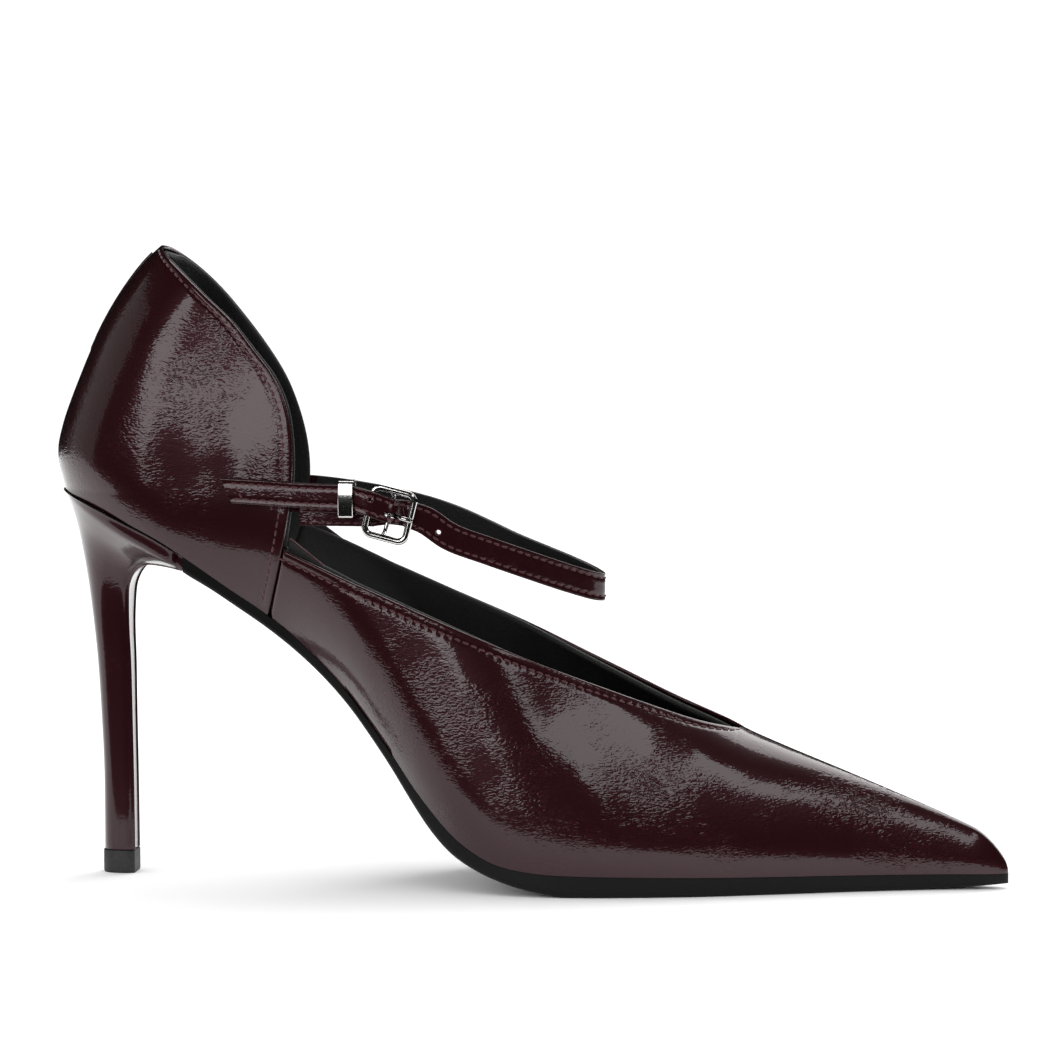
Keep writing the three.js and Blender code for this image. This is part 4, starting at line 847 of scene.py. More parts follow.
def sole_section(x):
    """Flat top, straight upper side, then a quarter ellipse down to the flat tread."""
    top = above(x, -0.12)
    bottom = sole_bottom(x) + REAR_LIFT * np.exp((BREAST_X - x) / REAR_LENGTH)
    turn = np.linspace(0, np.pi / 2, 9)
    half = {s: half_breadth(x, feather_line(x), s) for s in (LATERAL, MEDIAL)}
    bevel = np.minimum(BEVEL, 0.45 * np.minimum(half[LATERAL], half[MEDIAL]))
    knee = lerp(bottom, top, KNEE)
    curves = []
    for s in (LATERAL, MEDIAL):
        y = s * (half[s][:, None] - bevel[:, None] * (1 - np.cos(turn)))
        z = knee[:, None] - (knee - bottom)[:, None] * np.sin(turn)
        curve = np.stack(np.broadcast_arrays(x[:, None], y, z), axis=-1)
        rim = np.stack([x, s * half[s], top], axis=-1)[:, None]
        lip = np.stack([x, s * (half[s] - 0.35), top], axis=-1)[:, None]
        curves.append(np.concatenate([lip, rim, curve], axis=1))
    return np.concatenate([curves[0], curves[1][:, ::-1]], axis=1)


front = lerp(FLAT_FROM, TOE - 0.02, np.sin(np.linspace(0, np.pi / 2, 60)))
sole_x = np.r_[np.linspace(BREAST_X + GAP, FLAT_FROM, 220)[:-1], front]
build("outsole_leather", loft(sole_section(sole_x)), sole_leather, ["outsole"])

# %% [markdown]
# ## The heel
# The heel is a cast block wrapped in the same leather as the upper. One piece of leather goes
# round the back from one front corner to the other, and a second one covers the front face, which
# a shoemaker calls the breast. The rings from the tip to the seat are worked out by one formula.

# %% The heel's rings
TIP = (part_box("top_piece")[1].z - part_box("top_piece")[0].z) / MM
heel_foot = (TIP + GAP) / SEAT_HEIGHT
# Each row: back x, back height, front x, front height (both as a share of the seat), half width.
HEEL_ROWS = [
    (-4.2, heel_foot, 4.1, heel_foot, 4.2), (-4.3, 0.246, 3.9, 0.246, 4.2), (-5, 0.413, 3.6, 0.413, 4.3),
    (-5.8, 0.541, 3.4, 0.541, 4.7), (-7, 0.66, 3, 0.65, 5.4), (-8.4, 0.768, 3.2, 0.733, 6.8),
    (-9.6, 0.837, 5.4, 0.786, 9), (-10.8, 0.896, 9.6, 0.805, 12.5), (-12.4, 0.95, 15, 0.798, 17),
    (-13.6, 0.984, BREAST_X - 0.2, 0.783, 20.8), (-14.1, 0.996, BREAST_X, 0.833, 22),
]
levels = np.linspace(0, 1, len(HEEL_ROWS))
back_x, back_z, front_x, front_z, heel_width = (
    smooth(list(zip(levels, np.array(column) * scale)), 0.015)
    for column, scale in zip(zip(*HEEL_ROWS), (1, SEAT_HEIGHT, 1, SEAT_HEIGHT, 1))
)
BACK_SHARE = 0.6  # the share of a ring's points that lie on its rounded back
BREAST_SHARE = 0.86  # the sides keep this share of their width at the front corners


def heel_points(up, around):
    """Half-ellipse back and superellipse sides between the back and front lines, lifted to the seat."""
    share = np.abs(around)
    widest = lerp(0.5, 0.66, up**3)
    rounded = widest * (1 - np.cos(np.minimum(share / BACK_SHARE, 1) * np.pi / 2))
    s = np.where(share < BACK_SHARE, rounded, lerp(widest, 1, (share - BACK_SHARE) / (1 - BACK_SHARE)))
    front = np.clip((s - widest) / (1 - widest), 0, 1)
    bow = np.where(s < widest, np.sqrt(np.maximum(0, 1 - (1 - s / widest) ** 2)), (1 - front**5) ** 0.2)
    half = heel_width(up) * np.where(share < BACK_SHARE, bow, np.maximum(bow, BREAST_SHARE))
    x = lerp(back_x(up), front_x(up), s)
    chord = lerp(back_z(up), front_z(up), s)
    seat = above(x, -2 * GAP) - chord
    return np.stack(np.broadcast_arrays(x, np.sign(around) * half, chord + seat * up**10), axis=-1)


def below_seat(points):
    """Nothing of the heel rises above the underside of the shoe."""
    points = points.copy()
    points[:, 2] = np.minimum(points[:, 2], above(points[:, 0], -2 * GAP))
    return points


# %% Heel leathers and tip
HEEL_LEATHER = 0.7
HOLLOW = 0.12  # the breast is this much hollow, and clear of the cover
up = np.linspace(0, 1, 141)[:, None]
around = np.linspace(-1, 1, 97)[None, :]
shape = thicken([heel_points(up, around)], [(-1, 0, 0)], 0.0, HEEL_LEATHER, below_seat)
build("heel_cover_leather", shape, heel_patent, ["heel_cover"], crease=50)

up = np.linspace(0, 0.9, 121)[:, None]
x, y, z = (heel_points(up, np.ones((1, 1)))[:, 0, k : k + 1] for k in range(3))
t = np.linspace(-1, 1, 21)[None, :]
breast = np.broadcast_arrays(x - HOLLOW * (1 - t**2), t * (y - HEEL_LEATHER - HOLLOW), z)
shape = thicken([np.stack(breast, axis=-1)], [(1, 0, 0)], 0.0, HEEL_LEATHER)
build("heel_breast_leather", shape, heel_patent, ["heel_breast_cover"], crease=50)

ring = heel_points(np.zeros((1, 1)), np.linspace(-1, 1, 49)[None, :])[0]
outline = np.vstack([ring, lerp(ring[-1], ring[0], np.linspace(0, 1, 11)[1:-1, None])])
TIP_SPREAD = 1 + 0.3 / 4.2  # the tip is 0.3 mm wider all round than the heel's foot
shrink = np.array([0.93, 0.975, 1.0, 1.0, 1.0, 0.985, 0.95])[:, None, None]
tip = outline[None] * TIP_SPREAD * shrink
tip[..., 2] = np.array([0.0, 0.12, 0.5, TIP * 0.5, TIP - 0.35, TIP - 0.1, TIP])[:, None]
build("heel_tip_rubber", loft(tip), tip_rubber, ["top_piece"])

# %% [markdown]
# ## The strap
# The strap starts inside the inner quarter, goes round the instep, comes back on the outer side
# under the buckle's frame, over its bar, through the keeper, and ends in a slanted tail on the
# outer quarter. It is a band: a flat section with rounded corners carried along a route of
# listed points. The layers over the buckle are stacked from the bar outwards.

# %% Where the layers lie
rock = next(joint for joint in frame["joints"] if joint["name"] == "buckle_rock")
BAR_X, bar_y, BAR_Z = (value / MM for value in rock["pos_m"])
TILT = np.radians(14)
BAR_OUT = -bar_y
BAR_DROP, FRAME_WIRE, BAR_WIRE, PRONG_WIRE = 2.4, 1.3, 1.1, 0.9
BUCKLE_LENGTH, BUCKLE_HEIGHT = 11.8, 13.2
FRAME_OUT = BAR_OUT + BAR_DROP
ROCK_GAP = 0.35
CHAPE = 0.8  # thickness of the leather round the bar
STRAP = 1.7  # the strap and its lining together
FRONT_LAYER = FRAME_OUT - FRAME_WIRE / 2 - ROCK_GAP - CHAPE / 2
KEEPER_WALL, KEEPER_WIDTH, KEEPER_HEIGHT = 0.5, 3.8, 9.7
KEEPER_BACK = FRONT_LAYER - CHAPE / 2 - GAP
BACK_LAYER = KEEPER_BACK - KEEPER_WALL - GAP - CHAPE / 2
FOLD_RADIUS = BAR_WIRE / 2 + GAP + CHAPE / 2
OVER_BAR = BAR_OUT + FOLD_RADIUS + CHAPE / 2 + 2 * GAP + STRAP
OVER_FRAME = FRAME_OUT + FRAME_WIRE / 2 + ROCK_GAP + STRAP
UNDER_FRAME = FRAME_OUT - FRAME_WIRE / 2 - ROCK_GAP
IN_KEEPER = OVER_FRAME - 0.9
ROOT_X, ROOT_Z = 46, 100
ROOT_DEPTH = STIFF_DEPTH + 0.1  # strap and chape start between the quarter and its stiffener
KEEPER_X = float(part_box("strap_keeper")[0].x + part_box("strap_keeper")[1].x) / 2 / MM
BAR_PITCH = (BUCKLE_LENGTH - FRAME_WIRE) / 2
print("strap over the bar at", round(OVER_BAR, 2), "mm, keeper at", round(KEEPER_X, 1))


def in_buckle(forward, up=0.0):
    """Side view place that lies so far forward and up in the tilted buckle."""
    x = BAR_X + forward * np.cos(TILT) + up * np.sin(TILT)
    return x, BAR_Z - forward * np.sin(TILT) + up * np.cos(TILT)


def tail_out(x, z):
    """The strap's outer face where the tail lies on the quarter."""
    return float(half_breadth(x, z, LATERAL)) + 0.6 + STRAP


# %% A band along a route
def band_frames(route, shares):
    """Middle, three directions and half width along a route of x, y, z, width and lean."""
    middle, along, carried = glide([p[:3] for p in route], shares, [p[3:] for p in route])
    width, lean = carried.T
    upright = np.stack([np.sin(lean), np.zeros_like(lean), np.cos(lean)], axis=-1)
    across = unit(upright - along * np.sum(along * upright, axis=1, keepdims=True))
    return middle, along, across, np.cross(across, along), width / 2


def band(route, shares, low, high, sewn=None, slant=0.0, corner=0.32):
    """Rounded slab between two depths, with a sewn valley at a distance from both its edges."""
    middle, along, across, outward, half = band_frames(route, shares)
    length = run_along(middle)
    turn = np.linspace(0, np.pi / 2, 5)[1:-1]
    flat = np.linspace(-1, 1, 33)
    width = np.r_[flat, np.ones(7), -flat[::4], -np.ones(7)]
    bend = np.r_[np.sin(turn), 1.0, np.cos(turn)]
    ease = np.r_[np.zeros(33), bend, np.zeros(9), bend]
    thick = high - low
    edge = np.r_[corner * (1 - np.cos(turn)), thick / 2, thick - corner * (1 - np.sin(turn))]
    depth = np.r_[np.zeros(33), edge, np.full(9, thick), thick - edge]
    a = width * (half[:, None] - corner) + width * ease * corner
    sunk = np.repeat(depth[None], len(shares), axis=0)
    if sewn:
        wave = 0.7 + 0.3 * np.cos(2 * np.pi * length[:, None] / STITCH)
        bell = 0.17 * np.exp(-0.5 * ((half[:, None] - np.abs(a) - sewn) / 0.38) ** 2) * wave
        sunk[:, :33] += bell[:, :33]
    skew = slant * (a / half[:, None]) * np.clip((length - length[-1] + 5) / 5, 0, 1)[:, None]
    points = (
        middle[:, None]
        + across[:, None] * a[..., None]
        + along[:, None] * skew[..., None]
        - outward[:, None] * (low + sunk)[..., None]
    )
    return loft(points)


TAIL_WIDTH, STRAP_WIDTH = 6.4, 7.2
OVER_INSTEP = [
    (10.3, 28.2, -2.1), (21, 27.8, -3.8), (31.8, 26.6, -6.1), (40.3, 24.6, -8.6), (48.4, 21.6, -11.6),
    (56.7, 17.5, -14.7), (65, 13, -17.3), (73.5, 7.8, -19.9), (80.2, 2.8, -22.2), (82.4, -1, -23),
    (80.6, -4.6, -22.5), (75, -9.2, -20.4), (65.3, -15.8, -16.4), (54.7, -22, -12), (45.5, -26.8, -8),
]
over_frame, over_bar, before_bar, under_frame = (
    in_buckle(forward, 1.1) for forward in (-BAR_PITCH, 0, 1.4, BAR_PITCH)
)
root = [
    (x, float(inset_breadth(x, ROOT_Z, MEDIAL, ROOT_DEPTH)), ROOT_Z - sink, STRAP_WIDTH)
    for x, sink in ((ROOT_X - 7, 0.2), (ROOT_X, 0.8), (ROOT_X + 2, 0.95))
]
tail = [
    (ROOT_X + x, -tail_out(ROOT_X + beside, ROOT_Z + z) - proud, ROOT_Z + z, TAIL_WIDTH)
    for x, beside, z, proud in ((11, 6, 2.4, 0.9), (4, 4, 2.6, 0), (-4, -4, 3, 0), (-12.5, -12.5, 3.3, 0))
]
strap_route = [
    *root,
    *((ROOT_X + x, y, ROOT_Z + z, STRAP_WIDTH) for x, y, z in OVER_INSTEP),
    (under_frame[0] + 4, -UNDER_FRAME + 1, under_frame[1] - 1.5, STRAP_WIDTH),
    (under_frame[0], -UNDER_FRAME, under_frame[1], lerp(STRAP_WIDTH, TAIL_WIDTH, 0.4)),
    (under_frame[0] - 1.2, -UNDER_FRAME - 0.1, under_frame[1] + 0.4, lerp(STRAP_WIDTH, TAIL_WIDTH, 0.6)),
    (before_bar[0], -OVER_BAR, before_bar[1], TAIL_WIDTH),
    (over_bar[0], -OVER_BAR, over_bar[1], TAIL_WIDTH),
    (over_frame[0], -OVER_FRAME, over_frame[1] + 0.6, TAIL_WIDTH),
    (KEEPER_X, -IN_KEEPER, ROOT_Z + 2.2, TAIL_WIDTH),
    *tail,
]
strap_route = [(*point, 0.0) for point in strap_route]
STRAP_SEW = 1.25  # the sewn rows' distance from the strap's edges
FACE_DEPTH = 0.95  # the leather's share of the strap's thickness
SLANT = 1.6
LINED_FROM = 0.042  # the lining starts just ahead of the quarter
shape = band(strap_route, np.linspace(0, 1, 460), 0.0, FACE_DEPTH, STRAP_SEW, SLANT)
strap = build("strap_leather", shape, patent, ["strap"], "fastened_strap", 50)
lined = np.linspace(LINED_FROM, 1, 420)
shape = band(strap_route, lined, FACE_DEPTH, STRAP, slant=SLANT, corner=0.25)
strap_lining = build(
    "strap_lining_leather", shape, lining_leather, ["strap_lining"], "fastened_strap", 50
)

# %% [markdown]
# ## The chape
# The short leather that holds the buckle is called the chape. It comes out of the outer quarter,
# passes through the keeper, folds round the buckle's bar and goes back on the inside.

# %% Chape
FRONT_Z, BACK_Z = ROOT_Z + 1, ROOT_Z - 1.4
FRONT_WIDTH, BACK_WIDTH = 6, 8.4
fold = []
for degrees in (90, 50, 0, -50, -90):
    angle = np.radians(degrees)
    x, z = in_buckle(FOLD_RADIUS * np.cos(angle), lerp(0.8, 0, (90 - degrees) / 180))
    fold.append((x, -BAR_OUT - FOLD_RADIUS * np.sin(angle), z, FRONT_WIDTH, TILT))


def in_outer_quarter(x):
    """Middle of the chape between the outer quarter and its stiffener."""
    return -float(inset_breadth(x, ROOT_Z, LATERAL, ROOT_DEPTH)) + CHAPE / 2


chape_route = [
    (ROOT_X - 2, in_outer_quarter(ROOT_X - 2), FRONT_Z - 0.4, FRONT_WIDTH, 0),
    (ROOT_X + 5, in_outer_quarter(ROOT_X + 5) + 0.1, FRONT_Z - 0.2, FRONT_WIDTH, 0),
    (ROOT_X + 8, -FRONT_LAYER + 0.9, FRONT_Z, FRONT_WIDTH, 0),
    (KEEPER_X - 5, -FRONT_LAYER, FRONT_Z, FRONT_WIDTH, 0),
    (KEEPER_X + 2, -FRONT_LAYER, FRONT_Z - 0.2, FRONT_WIDTH, 0),
    (BAR_X - 5, -FRONT_LAYER, FRONT_Z - 0.8, FRONT_WIDTH, TILT / 2),
    *fold,
    (BAR_X - 4, -BACK_LAYER - 0.2, BACK_Z, BACK_WIDTH, TILT / 2),
    (KEEPER_X + 2, -BACK_LAYER, BACK_Z, BACK_WIDTH, 0),
    (KEEPER_X - 5, -BACK_LAYER, BACK_Z, BACK_WIDTH, 0),
    (ROOT_X + 6.5, -BACK_LAYER + 0.7, BACK_Z, BACK_WIDTH, 0),
]
shape = band(chape_route, np.linspace(0, 1, 190), -CHAPE / 2, CHAPE / 2, corner=0.3)
chape = build("chape_leather", shape, patent, ["buckle_chape"], "fastened_strap", 50)

# %% [markdown]
# ## Holes
# A punched hole is cut with a Boolean modifier whose result is applied at once, so that the piece
# keeps no link to the punch. The strap's two spare holes each get a fine rim for their raw, reddish
# leather, made in the thread's finish.

# %% Punch the holes
def pierce(piece, punches):
    """Cuts each punch, given as points and faces, out of the piece."""
    for points, faces in punches:
        mesh = bpy.data.meshes.new("punch")
        mesh.from_pydata((points * MM).tolist(), [], [list(map(int, face)) for face in faces])
        punch = add_object("punch", mesh)
        cut = piece.modifiers.new("cut", "BOOLEAN")
        cut.operation, cut.solver, cut.object = "DIFFERENCE", "MANIFOLD", punch
        bpy.context.view_layer.update()
        shaped = piece.evaluated_get(bpy.context.evaluated_depsgraph_get())
        result = bpy.data.meshes.new_from_object(shaped)
        piece.modifiers.remove(cut)
        old, piece.data = piece.data, result
        print("punched", piece.name, len(result.polygons), "faces")
        bpy.data.meshes.remove(old)
        bpy.data.objects.remove(punch)
        bpy.data.meshes.remove(mesh)
    piece.data.set_sharp_from_angle(angle=np.radians(50))


def slot_punch(from_forward, to_forward, half, up=0.0):
    """A punch with round ends through the strap, lying in the buckle's direction."""
    turn = np.linspace(np.pi / 2, 3 * np.pi / 2, 9)
    forward = np.r_[from_forward + half + half * np.cos(turn), to_forward - half - half * np.cos(turn)]
    height = np.r_[half * np.sin(turn), -half * np.sin(turn)] + up
    x, z = in_buckle(forward, height)
    return loft(np.stack([np.column_stack([x, np.full_like(x, y), z]) for y in PUNCH_ENDS]))


def hole_ring(place, radius, count):
    """A ring in side view round a spare hole."""
    turn = np.arange(count) / count * 2 * np.pi
    x, z = BAR_X + place[0] + radius * np.cos(turn), BAR_Z + place[1] + radius * np.sin(turn)
    return np.column_stack([x, np.zeros(count), z])


PUNCH_ENDS = (-36.0, -20.0)
SPARE_HOLES = [(12.6, -4.8), (-4.1, 3.9)]  # from the buckle's bar
SPARE_RADIUS = 0.62
prong_punch = slot_punch(-0.8, 3.8, 0.72)
spare_rings = [hole_ring(place, SPARE_RADIUS, 20) for place in SPARE_HOLES]
spare_punches = [loft(np.stack([ring + (0, y, 0) for y in PUNCH_ENDS])) for ring in spare_rings]
for piece in (strap, strap_lining):
    pierce(piece, [prong_punch, *spare_punches])
pierce(chape, [slot_punch(-3.2, 5.0, 1.3)])

# %% [markdown]
# ## Buckle, prong and keeper
# The buckle is a wire frame with round corners and a centre bar that is cranked inwards; the prong
# hooks round the bar and rests on the frame; the keeper is a flat band bent into a loop. Each is a
# section carried round a route.

# %% Metal pieces
def to_shoe(points):
    """From the buckle's own frame, X forward along the strap and Z across it, into the shoe's."""
    x, z = in_buckle(points[..., 0], points[..., 2])
    return np.stack([x, points[..., 1], z], axis=-1)


def tube(path, radius, fixed, closed=False, sides=14, squash=1.0):
    """Rings square to the path, turned about a fixed direction; squash flattens them along it."""
    if closed:
        along = np.roll(path, -1, axis=0) - np.roll(path, 1, axis=0)
    else:
        along = np.gradient(path, axis=0)
    other = unit(np.cross(unit(along), fixed))
    turn = ((np.arange(sides) + 0.5) / sides * 2 * np.pi)[None, :, None]
    radius = np.broadcast_to(radius, len(path))[:, None, None]
    ring = np.array(fixed) * np.cos(turn) * squash + other[:, None] * np.sin(turn)
    return loft(path[:, None] + radius * ring, closed)


def rounded_loop(half_a, half_b, corner, steps=10):
    """A rectangle with round corners, as points round its middle."""
    turn = np.linspace(0, np.pi / 2, steps)
    parts = []
    for k, (sa, sb) in enumerate(((1, 1), (-1, 1), (-1, -1), (1, -1))):
        angle = turn + k * np.pi / 2
        a, b = sa * (half_a - corner), sb * (half_b - corner)
        parts.append(np.column_stack([a + corner * np.cos(angle), b + corner * np.sin(angle)]))
    return np.vstack(parts)


def together(*shells):
    """Several closed shells as one list of points and faces."""
    points, faces, count = [], [], 0
    for shell_points, shell_faces in shells:
        points.append(shell_points)
        faces += [np.asarray(face) + count for face in shell_faces]
        count += len(shell_points)
    return np.vstack(points), faces


WIRE_SHOWN = 1.75  # the frame is a flattened wire, wider than it is thick
SHOWN_LENGTH, SHOWN_HEIGHT, SHOWN_AHEAD = BUCKLE_LENGTH + 0.9, BUCKLE_HEIGHT + 1.1, 0.35
loop = rounded_loop((SHOWN_LENGTH - WIRE_SHOWN) / 2, (SHOWN_HEIGHT - WIRE_SHOWN) / 2, 2.1)
path = np.column_stack([loop[:, 0] + SHOWN_AHEAD, np.full(len(loop), -FRAME_OUT), loop[:, 1]])
rim = tube(to_shoe(path), WIRE_SHOWN / 2, (0, 1, 0), closed=True, squash=0.74, sides=18)
reach = (BUCKLE_HEIGHT - FRAME_WIRE) / 2
crank = [(FRAME_OUT, reach), (FRAME_OUT - 0.4 * BAR_DROP, reach - 0.5), (BAR_OUT, reach - 1.3)]
crank = [(0, -out, z) for out, z in crank] + [(0, -out, -z) for out, z in reversed(crank)]
bar_path = glide(crank, np.linspace(0, 1, 60))[0]
bar = tube(to_shoe(bar_path), BAR_WIRE / 2, (np.cos(TILT), 0, -np.sin(TILT)))
build("buckle_frame_metal", together(rim, bar), nickel, ["buckle_frame"], "buckle", 60)

PRONG_SHOWN = 1.3
PRONG_CLEAR = 0.2
PRONG_RING = BAR_WIRE / 2 + PRONG_CLEAR + PRONG_WIRE / 2
PRONG_REST = FRAME_OUT + FRAME_WIRE / 2 + PRONG_CLEAR + PRONG_WIRE / 2
turn = np.radians(np.linspace(0, 330, 40))
hook = np.column_stack([PRONG_RING * np.cos(turn), -BAR_OUT + PRONG_RING * np.sin(turn), np.zeros(40)])
blade = [
    (0, -BAR_OUT - PRONG_RING, 0), (0.9, -BAR_OUT - PRONG_RING - 0.05, 0),
    (2.4, -lerp(BAR_OUT + PRONG_RING, PRONG_REST, 0.55), 0), (4.2, -PRONG_REST, 0),
    (BAR_PITCH + 1.5, -PRONG_REST, 0),
]
blade = glide(blade, np.linspace(0, 1, 50))[0]
upright = (np.sin(TILT), 0, np.cos(TILT))
taper = PRONG_SHOWN / 2 * np.sqrt(np.clip((1.04 - np.linspace(0, 1, 50)) / 0.1, 0, 1))
prong = together(tube(to_shoe(hook), PRONG_WIRE / 2, upright), tube(to_shoe(blade), taper, upright))
build("prong_metal", prong, nickel, ["buckle_prong"], "prong", 60)

keeper_front = IN_KEEPER + GAP + 0.4
keeper_middle = (keeper_front + KEEPER_BACK) / 2
half_depth = (keeper_front - KEEPER_BACK) / 2
half_height = KEEPER_HEIGHT / 2 - KEEPER_WALL
KEEPER_BULGE = 0.42  # its front face is bowed, so that it is bright above and dark below
CORNER_STEPS = 8
before, after = 2 * CORNER_STEPS - 1, 2 * CORNER_STEPS  # the loop's points at the ends of its front
chamfer = 0.13
section = [  # end, place along it from that end, and depth out of the loop's inner face
    (-1, 0, chamfer), (-1, 0, KEEPER_WALL - chamfer), (-1, chamfer, KEEPER_WALL),
    (1, -chamfer, KEEPER_WALL), (1, 0, KEEPER_WALL - chamfer), (1, 0, chamfer),
    (1, -chamfer, 0), (-1, chamfer, 0),
]
rings = []
for end, inset, out in section:
    loop = rounded_loop(half_depth + out, half_height + out, 0.5 + out, CORNER_STEPS)
    face = lerp(loop[before], loop[after], np.linspace(0, 1, 18)[1:-1, None])
    face[:, 0] -= KEEPER_BULGE * (1 - (face[:, 1] / loop[before, 1]) ** 2)
    y, z = np.vstack([loop[:after], face, loop[after:]]).T
    x = np.full(len(y), KEEPER_X + end * KEEPER_WIDTH / 2 + inset)
    rings.append(np.column_stack([x, y - keeper_middle, z + ROOT_Z + 1.8]))
shape = loft(np.stack(rings, axis=1), True)
build("keeper_metal", shape, nickel, ["strap_keeper"], "keeper", 30)

# %% [markdown]
# ## Sewing
# Each stitch is a short bead of thread, sunk a little in its valley. One bead of six rings is
# shaped once and set along the row with arrays, so that hundreds of stitches cost little.

# %% Stitches
BEAD_RINGS, BEAD_SIDES = 6, 6
bead_turn = np.linspace(0, np.pi, BEAD_RINGS + 2)[1:-1, None]
bead_side = np.arange(BEAD_SIDES)[None, :] / BEAD_SIDES * 2 * np.pi
thick = np.sin(bead_turn)
bead = np.broadcast_arrays(-np.cos(bead_turn), thick * np.cos(bead_side), thick * np.sin(bead_side))
bead = np.stack(bead, axis=-1).reshape(-1, 3)
bead_faces = [*grid_faces(BEAD_RINGS, BEAD_SIDES, closed=True)]
bead_faces += [np.arange(BEAD_SIDES), np.arange(BEAD_SIDES)[::-1] + (BEAD_RINGS - 1) * BEAD_SIDES]


def stitches(path, outward, sunk=0.1, pitch=STITCH, radius=0.29):
    """Beads at even steps of the path: along it, beside it and outwards from the leather."""
    length = run_along(path)
    at = np.arange(pitch / 2, length[-1], pitch)
    spot, normal, slope = (
        read_at(at, length, values) for values in (path, outward, np.gradient(path, length, axis=0))
    )
    slope = unit(slope)
    normal = unit(normal - slope * np.sum(slope * normal, axis=1, keepdims=True))
    axes = np.stack([slope, np.cross(normal, slope), normal], axis=1)
    shaped = bead * (0.40 * pitch, radius, radius * 0.8)
    points = (spot - normal * sunk)[:, None] + np.einsum("kc,ncd->nkd", shaped, axes)
    faces = [face + k * len(bead) for k in range(len(at)) for face in bead_faces]
    return points.reshape(-1, 3), faces


def upper_normal(points, side):
    """Outward direction of the upper's face, from the slope of its half breadth."""
    dx, dz = breadth_slopes(points[:, 0], points[:, 2], side, 0.3)
    return unit(np.column_stack([-dx, np.full(len(points), side), -dz]))


def row_inside_edge(grid, inset):
    """On each row of a grid, the point that lies so far in from the row's end."""
    distance, _ = edge_distance(grid)
    k = np.sum(distance > inset, axis=1) - 1
    rows = np.arange(len(grid))
    near, far = distance[rows, k + 1], distance[rows, k]
    t = ((inset - near) / (far - near))[:, None]
    return lerp(grid[rows, k + 1], grid[rows, k], t)


rows = []
for side, grid in quarter_grids.items():
    length = edge_distance(grid)[0][:, 0]
    line = row_inside_edge(grid[length > 5], SEW_IN)[3:]
    rows.append(stitches(line, upper_normal(line, side), sunk=0.05))
build("quarter_stitches", together(*rows), thread)

wings = []
for side, grid in vamp_grids.items():
    grid = grid[FROM_EDGE.index(STEP_START) :, 1:]
    behind = grid[:, -1, 0] < THROAT - 0.5
    line = row_inside_edge(grid[behind], SEW_IN)
    wings.append((line, upper_normal(line, side)))
tip_turn = np.linspace(0.15, np.pi - 0.15, 9)
tip_x = THROAT + 2.6 * np.sin(tip_turn)
tip = np.column_stack([tip_x, -2.0 * np.cos(tip_turn), ridge_line(tip_x) - 0.25 * np.cos(tip_turn) ** 2])
line = np.vstack([wings[0][0], tip, wings[1][0][::-1]])
outward = np.vstack([wings[0][1], np.tile((0.4, 0.0, 0.92), (9, 1)), wings[1][1][::-1]])
build("topline_stitches", stitches(line, outward, sunk=0.05), thread)

sewn = np.linspace(LINED_FROM + 0.006, 0.992, 500)
middle, along, across, outward, half = band_frames(strap_route, sewn)
reach = half - STRAP_SEW
rows = [stitches(middle + across * (edge * reach)[:, None], outward, 0.03) for edge in (-1, 1)]
t = np.linspace(-1, 1, 12)[:, None]
end = middle[-1] - along[-1] * 1.6 + across[-1] * t * reach[-1] + along[-1] * t * 1.2
rows.append(stitches(end, np.tile(outward[-1], (12, 1)), 0.03, pitch=2.0))
build("strap_stitches", together(*rows), thread, body="fastened_strap")

rows = []
for start, stop, count, turned in ((0.62, 0.98, 120, 1), (0.16, 0.36, 60, -1)):
    middle, _, across, outward, half = band_frames(chape_route, np.linspace(start, stop, count))
    outward = turned * outward
    lower = middle - across * (half - 0.9)[:, None] + outward * CHAPE / 2
    rows.append(stitches(lower, outward, 0.08))
build("chape_stitches", together(*rows), thread, body="fastened_strap")

# %% [markdown]
# Two kinds of fine edging finish the leather: a cord of red thread along each side tab's top, and
# the raw rim of each of the strap's two spare holes.

# %% Edging
RIM_WIRE = 0.13
for side, word in SIDES:
    edge = tab_tops[side]
    edge = edge - upper_normal(edge, side) * (STIFF_DEPTH + STIFFENER / 2)
    edge[:, 2] += 0.45
    build(f"tab_edging_{word}", tube(edge, 0.28, (0, 1, 0), sides=8), thread)

middle, _, _, outward, _ = band_frames(strap_route, np.linspace(0, 1, 2000))
outer_side = middle[:, 1] < PUNCH_ENDS[1]
middle, outward = middle[outer_side], outward[outer_side]
rims = []
for dx, dz in SPARE_HOLES:
    k = int(np.argmin(np.hypot(middle[:, 0] - BAR_X - dx, middle[:, 2] - BAR_Z - dz)))
    ring = hole_ring((dx, dz), SPARE_RADIUS + 0.1, 24)
    away = (ring - middle[k])[:, [0, 2]] @ outward[k, [0, 2]]
    ring[:, 1] = middle[k, 1] - away / outward[k, 1]
    rims.append(tube(ring, RIM_WIRE, (0, 1, 0), closed=True, sides=8))
build("hole_rims", together(*rims), thread, body="fastened_strap")

# %% [markdown]
# ## Stage, light and camera
# A pale half disc is the floor. Glossy black leather shows what is round it more than its own colour,
# so the room is kept dim for reflections and bright for everything else, and five soft boxes draw
# the long highlights. The floor ends just in front of the shoe, so that less of it is mirrored.

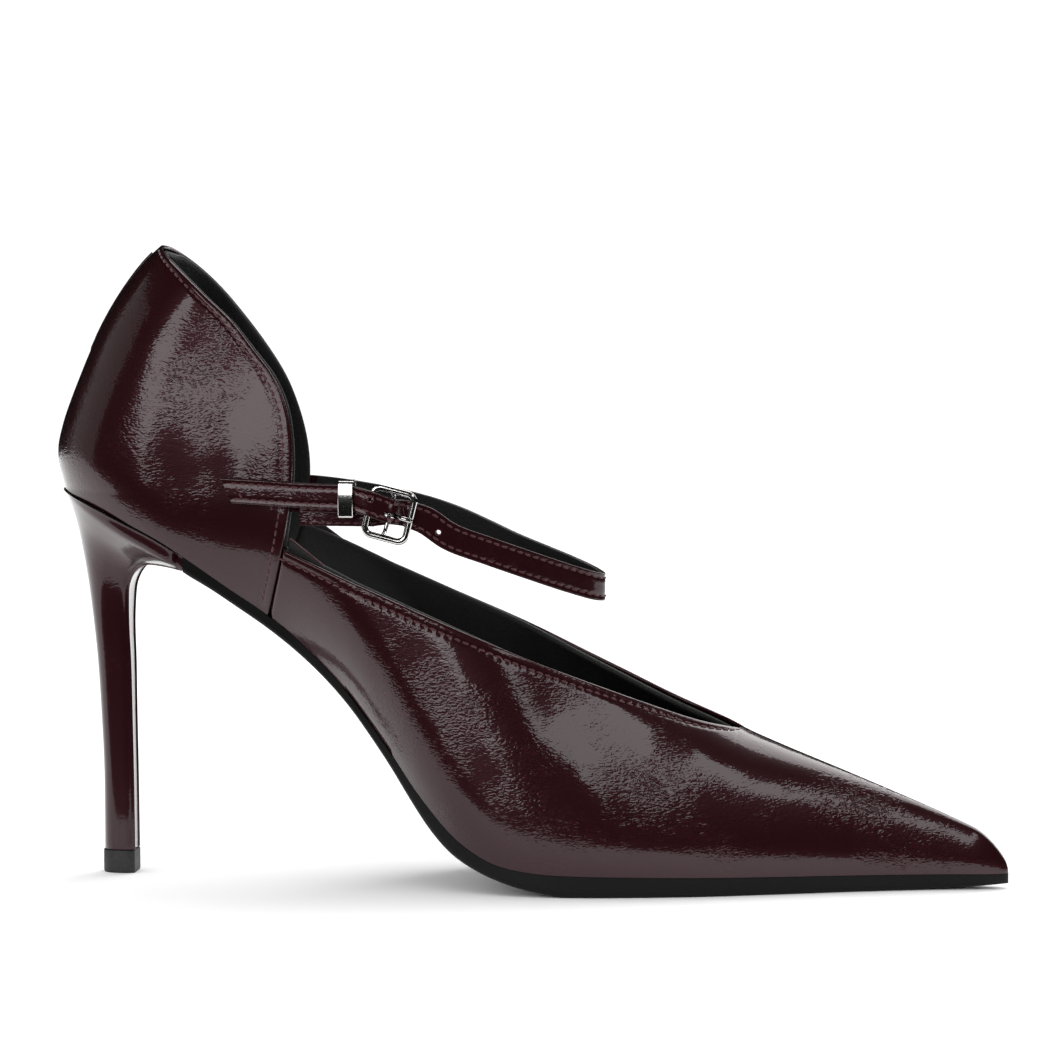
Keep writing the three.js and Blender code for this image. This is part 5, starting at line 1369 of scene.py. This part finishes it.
# %% Floor and room
FLOOR_RADIUS, FLOOR_FRONT = 1.1, 0.115
floor_mesh = bpy.data.meshes.new("floor")
turn = np.arange(96) / 96 * 2 * np.pi
y = np.sin(turn)
y = np.where(y < 0, y * FLOOR_FRONT, y * FLOOR_RADIUS)
disc = np.column_stack([0.1 + FLOOR_RADIUS * np.cos(turn), y, np.zeros(96)])
floor_mesh.from_pydata(disc.tolist(), [], [list(range(96))])
floor = add_object("floor", floor_mesh)
pale = new_material("pale_floor", Roughness=0.6, Specular_IOR_Level=0.2)
cloud = noise(pale, place(pale), 3.0)
plug(pale, "Base Color", blend_colours(pale, cloud, (0.9, 0.9, 0.9), (0.93, 0.93, 0.93)))
floor_mesh.materials.append(pale)

world = bpy.data.worlds.new("room")
bpy.context.scene.world = world
world.use_nodes = True
tree = world.node_tree
rays = tree.nodes.new("ShaderNodeLightPath")
mix = tree.nodes.new("ShaderNodeMixShader")
tree.links.new(rays.outputs["Is Glossy Ray"], mix.inputs["Fac"])
light_room, dim_room = tree.nodes["Background"], tree.nodes.new("ShaderNodeBackground")
for k, room, strength in ((1, light_room, 1.12), (2, dim_room, 0.008)):
    room.inputs["Color"].default_value = (1, 1, 1, 1)
    room.inputs["Strength"].default_value = strength
    tree.links.new(room.outputs[0], mix.inputs[k])
tree.links.new(mix.outputs[0], tree.nodes["World Output"].inputs["Surface"])


# %% Soft boxes
BOX_DISTANCE = 1.3


def sight(azimuth, elevation):
    """Direction towards a place seen so many degrees to the right of the front and up."""
    a, e = np.radians(azimuth), np.radians(elevation)
    return Vector((np.sin(a) * np.cos(e), -np.cos(a) * np.cos(e), np.sin(e)))


def soft_box(name, azimuth, elevation, turn, size, watts, aim):
    """A rectangular light that faces its aim, turned on its axis, hidden from the camera."""
    light = bpy.data.lights.new(name, "AREA")
    light.shape, light.size, light.size_y, light.energy = "RECTANGLE", size[0], size[1], watts
    lamp = add_object(name, light)
    direction = sight(azimuth, elevation)
    lamp.location = Vector(aim) + direction * BOX_DISTANCE
    facing = direction.to_track_quat("Z", "Y") @ Quaternion((0, 0, 1), np.radians(turn))
    lamp.rotation_euler = facing.to_euler()
    lamp.visible_camera = False


soft_box("box_front_left", -26.4, 14.5, 42, (0.41, 0.85), 3.6, (0.03, -0.026, 0.125))
soft_box("box_front_right", 42.5, 39.9, 36, (1.4, 0.16), 2.2, (0.125, -0.028, 0.045))
soft_box("box_over_toe", 161.7, 48.3, 71, (2.2, 0.78), 14, (0.19, -0.008, 0.027))
soft_box("box_left", -92, 10, 0, (1.0, 1.1), 1.3, (0.0, 0.0, 0.12))
soft_box("box_front", -8, 15, 0, (0.14, 0.5), 0.8, (0.065, -0.03, 0.1))

# %% Camera
camera_data = bpy.data.cameras.new("camera")
camera = add_object("camera", camera_data)
bpy.context.scene.camera = camera
AIM = Vector((0.10715, 0.0, 0.0927))
DISTANCE = 2.0092
camera_data.lens, camera_data.sensor_width = 265.2, 36.0
back = sight(8.0, 5.478)
camera.location = AIM + back * DISTANCE
camera.rotation_euler = back.to_track_quat("Z", "Y").to_euler()
bpy.context.scene.view_settings.view_transform = "Standard"
